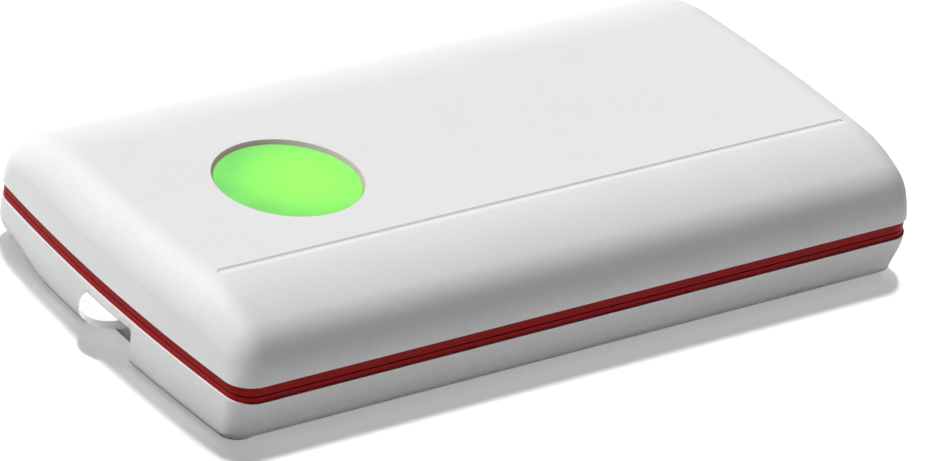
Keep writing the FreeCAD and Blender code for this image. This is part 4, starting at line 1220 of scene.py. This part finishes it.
class READER_OT_magnets(Operator):
    """Holding magnets of the base and of the reader"""
    bl_idname = "reader.magnets"
    bl_label = "Magnets"

    def execute(self, context):
        size, tint = context.scene.reader_screws, context.scene.reader_finishes
        nickel = brushed("magnet_plate", tint.nickel, rough=0.22, grain=0.4 * MM)
        soft, edge_steps = size.magnet_edge, 4
        for name, body in (("base_magnets", "base"), ("reader_magnets", "reader")):
            boxes = solids_of(name)
            places = [((a.x + b.x) / 2, (a.y + b.y) / 2, a.z) for a, b in boxes]
            low, high = boxes[0]
            radius, tall = (high.x - low.x) / 2, high.z - low.z
            profile = [(0, 0)] + arc_points(radius - soft, soft, soft, -math.pi / 2, 0, edge_steps)
            profile += arc_points(radius - soft, tall - soft, soft, 0, math.pi / 2, edge_steps)
            profile.append((0, tall))
            disc = lathe("disc", profile, 0, 0, steps=64)
            piece = set_out(f"{name}_set", disc, places, nickel)
            finish_piece(piece, nickel, body, "magnet_plate", name)
        return {"FINISHED"}


class READER_OT_reference_tile(Operator):
    """White reference tile on its foam"""
    bl_idname = "reader.reference_tile"
    bl_label = "Reference tile"

    def execute(self, context):
        tint = context.scene.reader_finishes
        tile = softened_node("calibration_tile", "reference_tile", edge=0.15 * MM, segments=3)
        white = glazed("tile_white", tint.tile_white)
        finish_piece(tile, white, "base", "tile_white", "calibration_tile")
        paint_node("tile_cushion", foam("tile_foam", tint.foam_grey))
        return {"FINISHED"}


class READER_OT_under_cover(Operator):
    """Cover under the reader with the aperture ring and its window"""
    bl_idname = "reader.under_cover"
    bl_label = "Under cover"

    def execute(self, context):
        tint = context.scene.reader_finishes
        cover = softened_node("under_cover", "cover_tray", edge=0.12 * MM)
        grey = moulded("cover_grey", tint.cover_grey, rough=0.48, grain=0.3 * MM, depth=0.016 * MM)
        finish_piece(cover, grey, "reader", "cover_grey", "under_cover")
        ring = softened_node("aperture_ring", "aperture_collar", edge=0.08 * MM)
        black = moulded("barrel_black_ring", tint.barrel_black, rough=0.5, grain=0.2 * MM,
                        depth=0.006 * MM)
        finish_piece(ring, black, "reader", "barrel_black", "aperture_ring")
        paint_node("aperture_window", clear_glass("window_glass", tint.glass))
        return {"FINISHED"}


class READER_OT_optics(Operator):
    """Barrel, lens, measuring lamps and sensor"""
    bl_idname = "reader.optics"
    bl_label = "Optics"

    def execute(self, context):
        tint = context.scene.reader_finishes
        barrel = moulded("barrel_black", tint.barrel_black, rough=0.55, grain=0.2 * MM,
                         depth=0.006 * MM)
        paint_node("optics_barrel", barrel)
        paint_node("collector_lens", clear_glass("lens_glass", tint.glass))
        paint_node("illumination_leds", lamp_body("lamp_body", tint.lamp_body, tint.lamp_glow))
        sensor = softened_node("sensor_chip", "sensor", edge=0.06 * MM)
        black = moulded("sensor_black", tint.chip_black, rough=0.35, grain=0.15 * MM,
                        depth=0.002 * MM)
        finish_piece(sensor, black, "reader", "chip_black", "sensor_chip")
        return {"FINISHED"}


class READER_OT_board(Operator):
    """Main board with its chips, switch, lamps and charging socket"""
    bl_idname = "reader.board"
    bl_label = "Main board"

    def execute(self, context):
        tint = context.scene.reader_finishes
        paint_node("main_board", solder_mask("board_green", tint.board_green, tint.copper_green))
        black = moulded("chip_black", tint.chip_black, rough=0.4, grain=0.12 * MM, depth=0.003 * MM)
        shield = brushed("shield_steel", tint.steel, rough=0.26, grain=0.3 * MM)
        for node_name, name, material, slot in (
                ("microcontroller", "main_chip", black, "chip_black"),
                ("charger_chip", "charging_chip", black, "chip_black"),
                ("switch_body", "switch_housing", black, "chip_black"),
                ("radio_module", "radio_can", shield, "shield_steel"),
                ("charging_socket", "socket_can", shield, "shield_steel")):
            piece = softened_node(node_name, name, edge=0.08 * MM)
            finish_piece(piece, material, "reader", slot, node_name)
        paint_node("status_leds", lamp_body("status_lamp", tint.lamp_body, tint.button_green))
        return {"FINISHED"}


class READER_OT_battery(Operator):
    """Battery with its tape, plug and leads"""
    bl_idname = "reader.battery"
    bl_label = "Battery"

    def execute(self, context):
        tint = context.scene.reader_finishes
        paint_node("battery_cell", brushed("cell_foil", tint.foil, rough=0.38, grain=1.5 * MM))
        paint_node("battery_pad", foam("pad_foam", tint.foam_grey))
        red = moulded("lead_red", tint.lead_red, rough=0.4, grain=0.3 * MM, depth=0.004 * MM)
        paint_node("battery_leads", red)
        plug = softened_node("battery_plug", "lead_plug", edge=0.1 * MM)
        white = moulded("plug_white", tint.plug_white, rough=0.4, grain=0.2 * MM, depth=0.004 * MM)
        finish_piece(plug, white, "reader", "plug_white", "battery_plug")
        return {"FINISHED"}


OPERATORS = [
    READER_OT_stage, READER_OT_top_shell, READER_OT_bands, READER_OT_base_shell,
    READER_OT_thumb_lip, READER_OT_button, READER_OT_screws, READER_OT_magnets,
    READER_OT_reference_tile, READER_OT_under_cover, READER_OT_optics, READER_OT_board,
    READER_OT_battery,
]


class READER_PT_pieces(Panel):
    """Lists the operators of the colour reader"""
    bl_idname = "READER_PT_pieces"
    bl_label = "Colour reader"
    bl_space_type = "VIEW_3D"
    bl_region_type = "UI"
    bl_category = "Reader"

    def draw(self, context):
        for operator in OPERATORS:
            self.layout.operator(operator.bl_idname)


CLASSES = [*GROUPS.values(), *OPERATORS, READER_PT_pieces]


def register():
    for made in CLASSES:
        bpy.utils.register_class(made)
    for name, group in GROUPS.items():
        setattr(bpy.types.Scene, name, PointerProperty(type=group))


def unregister():
    for name in GROUPS:
        delattr(bpy.types.Scene, name)
    for made in reversed(CLASSES):
        bpy.utils.unregister_class(made)


def main():
    """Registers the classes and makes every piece."""
    register()
    for operator in OPERATORS:
        area, name = operator.bl_idname.split(".")
        getattr(getattr(bpy.ops, area), name)()


if __name__ == "__main__":
    main()
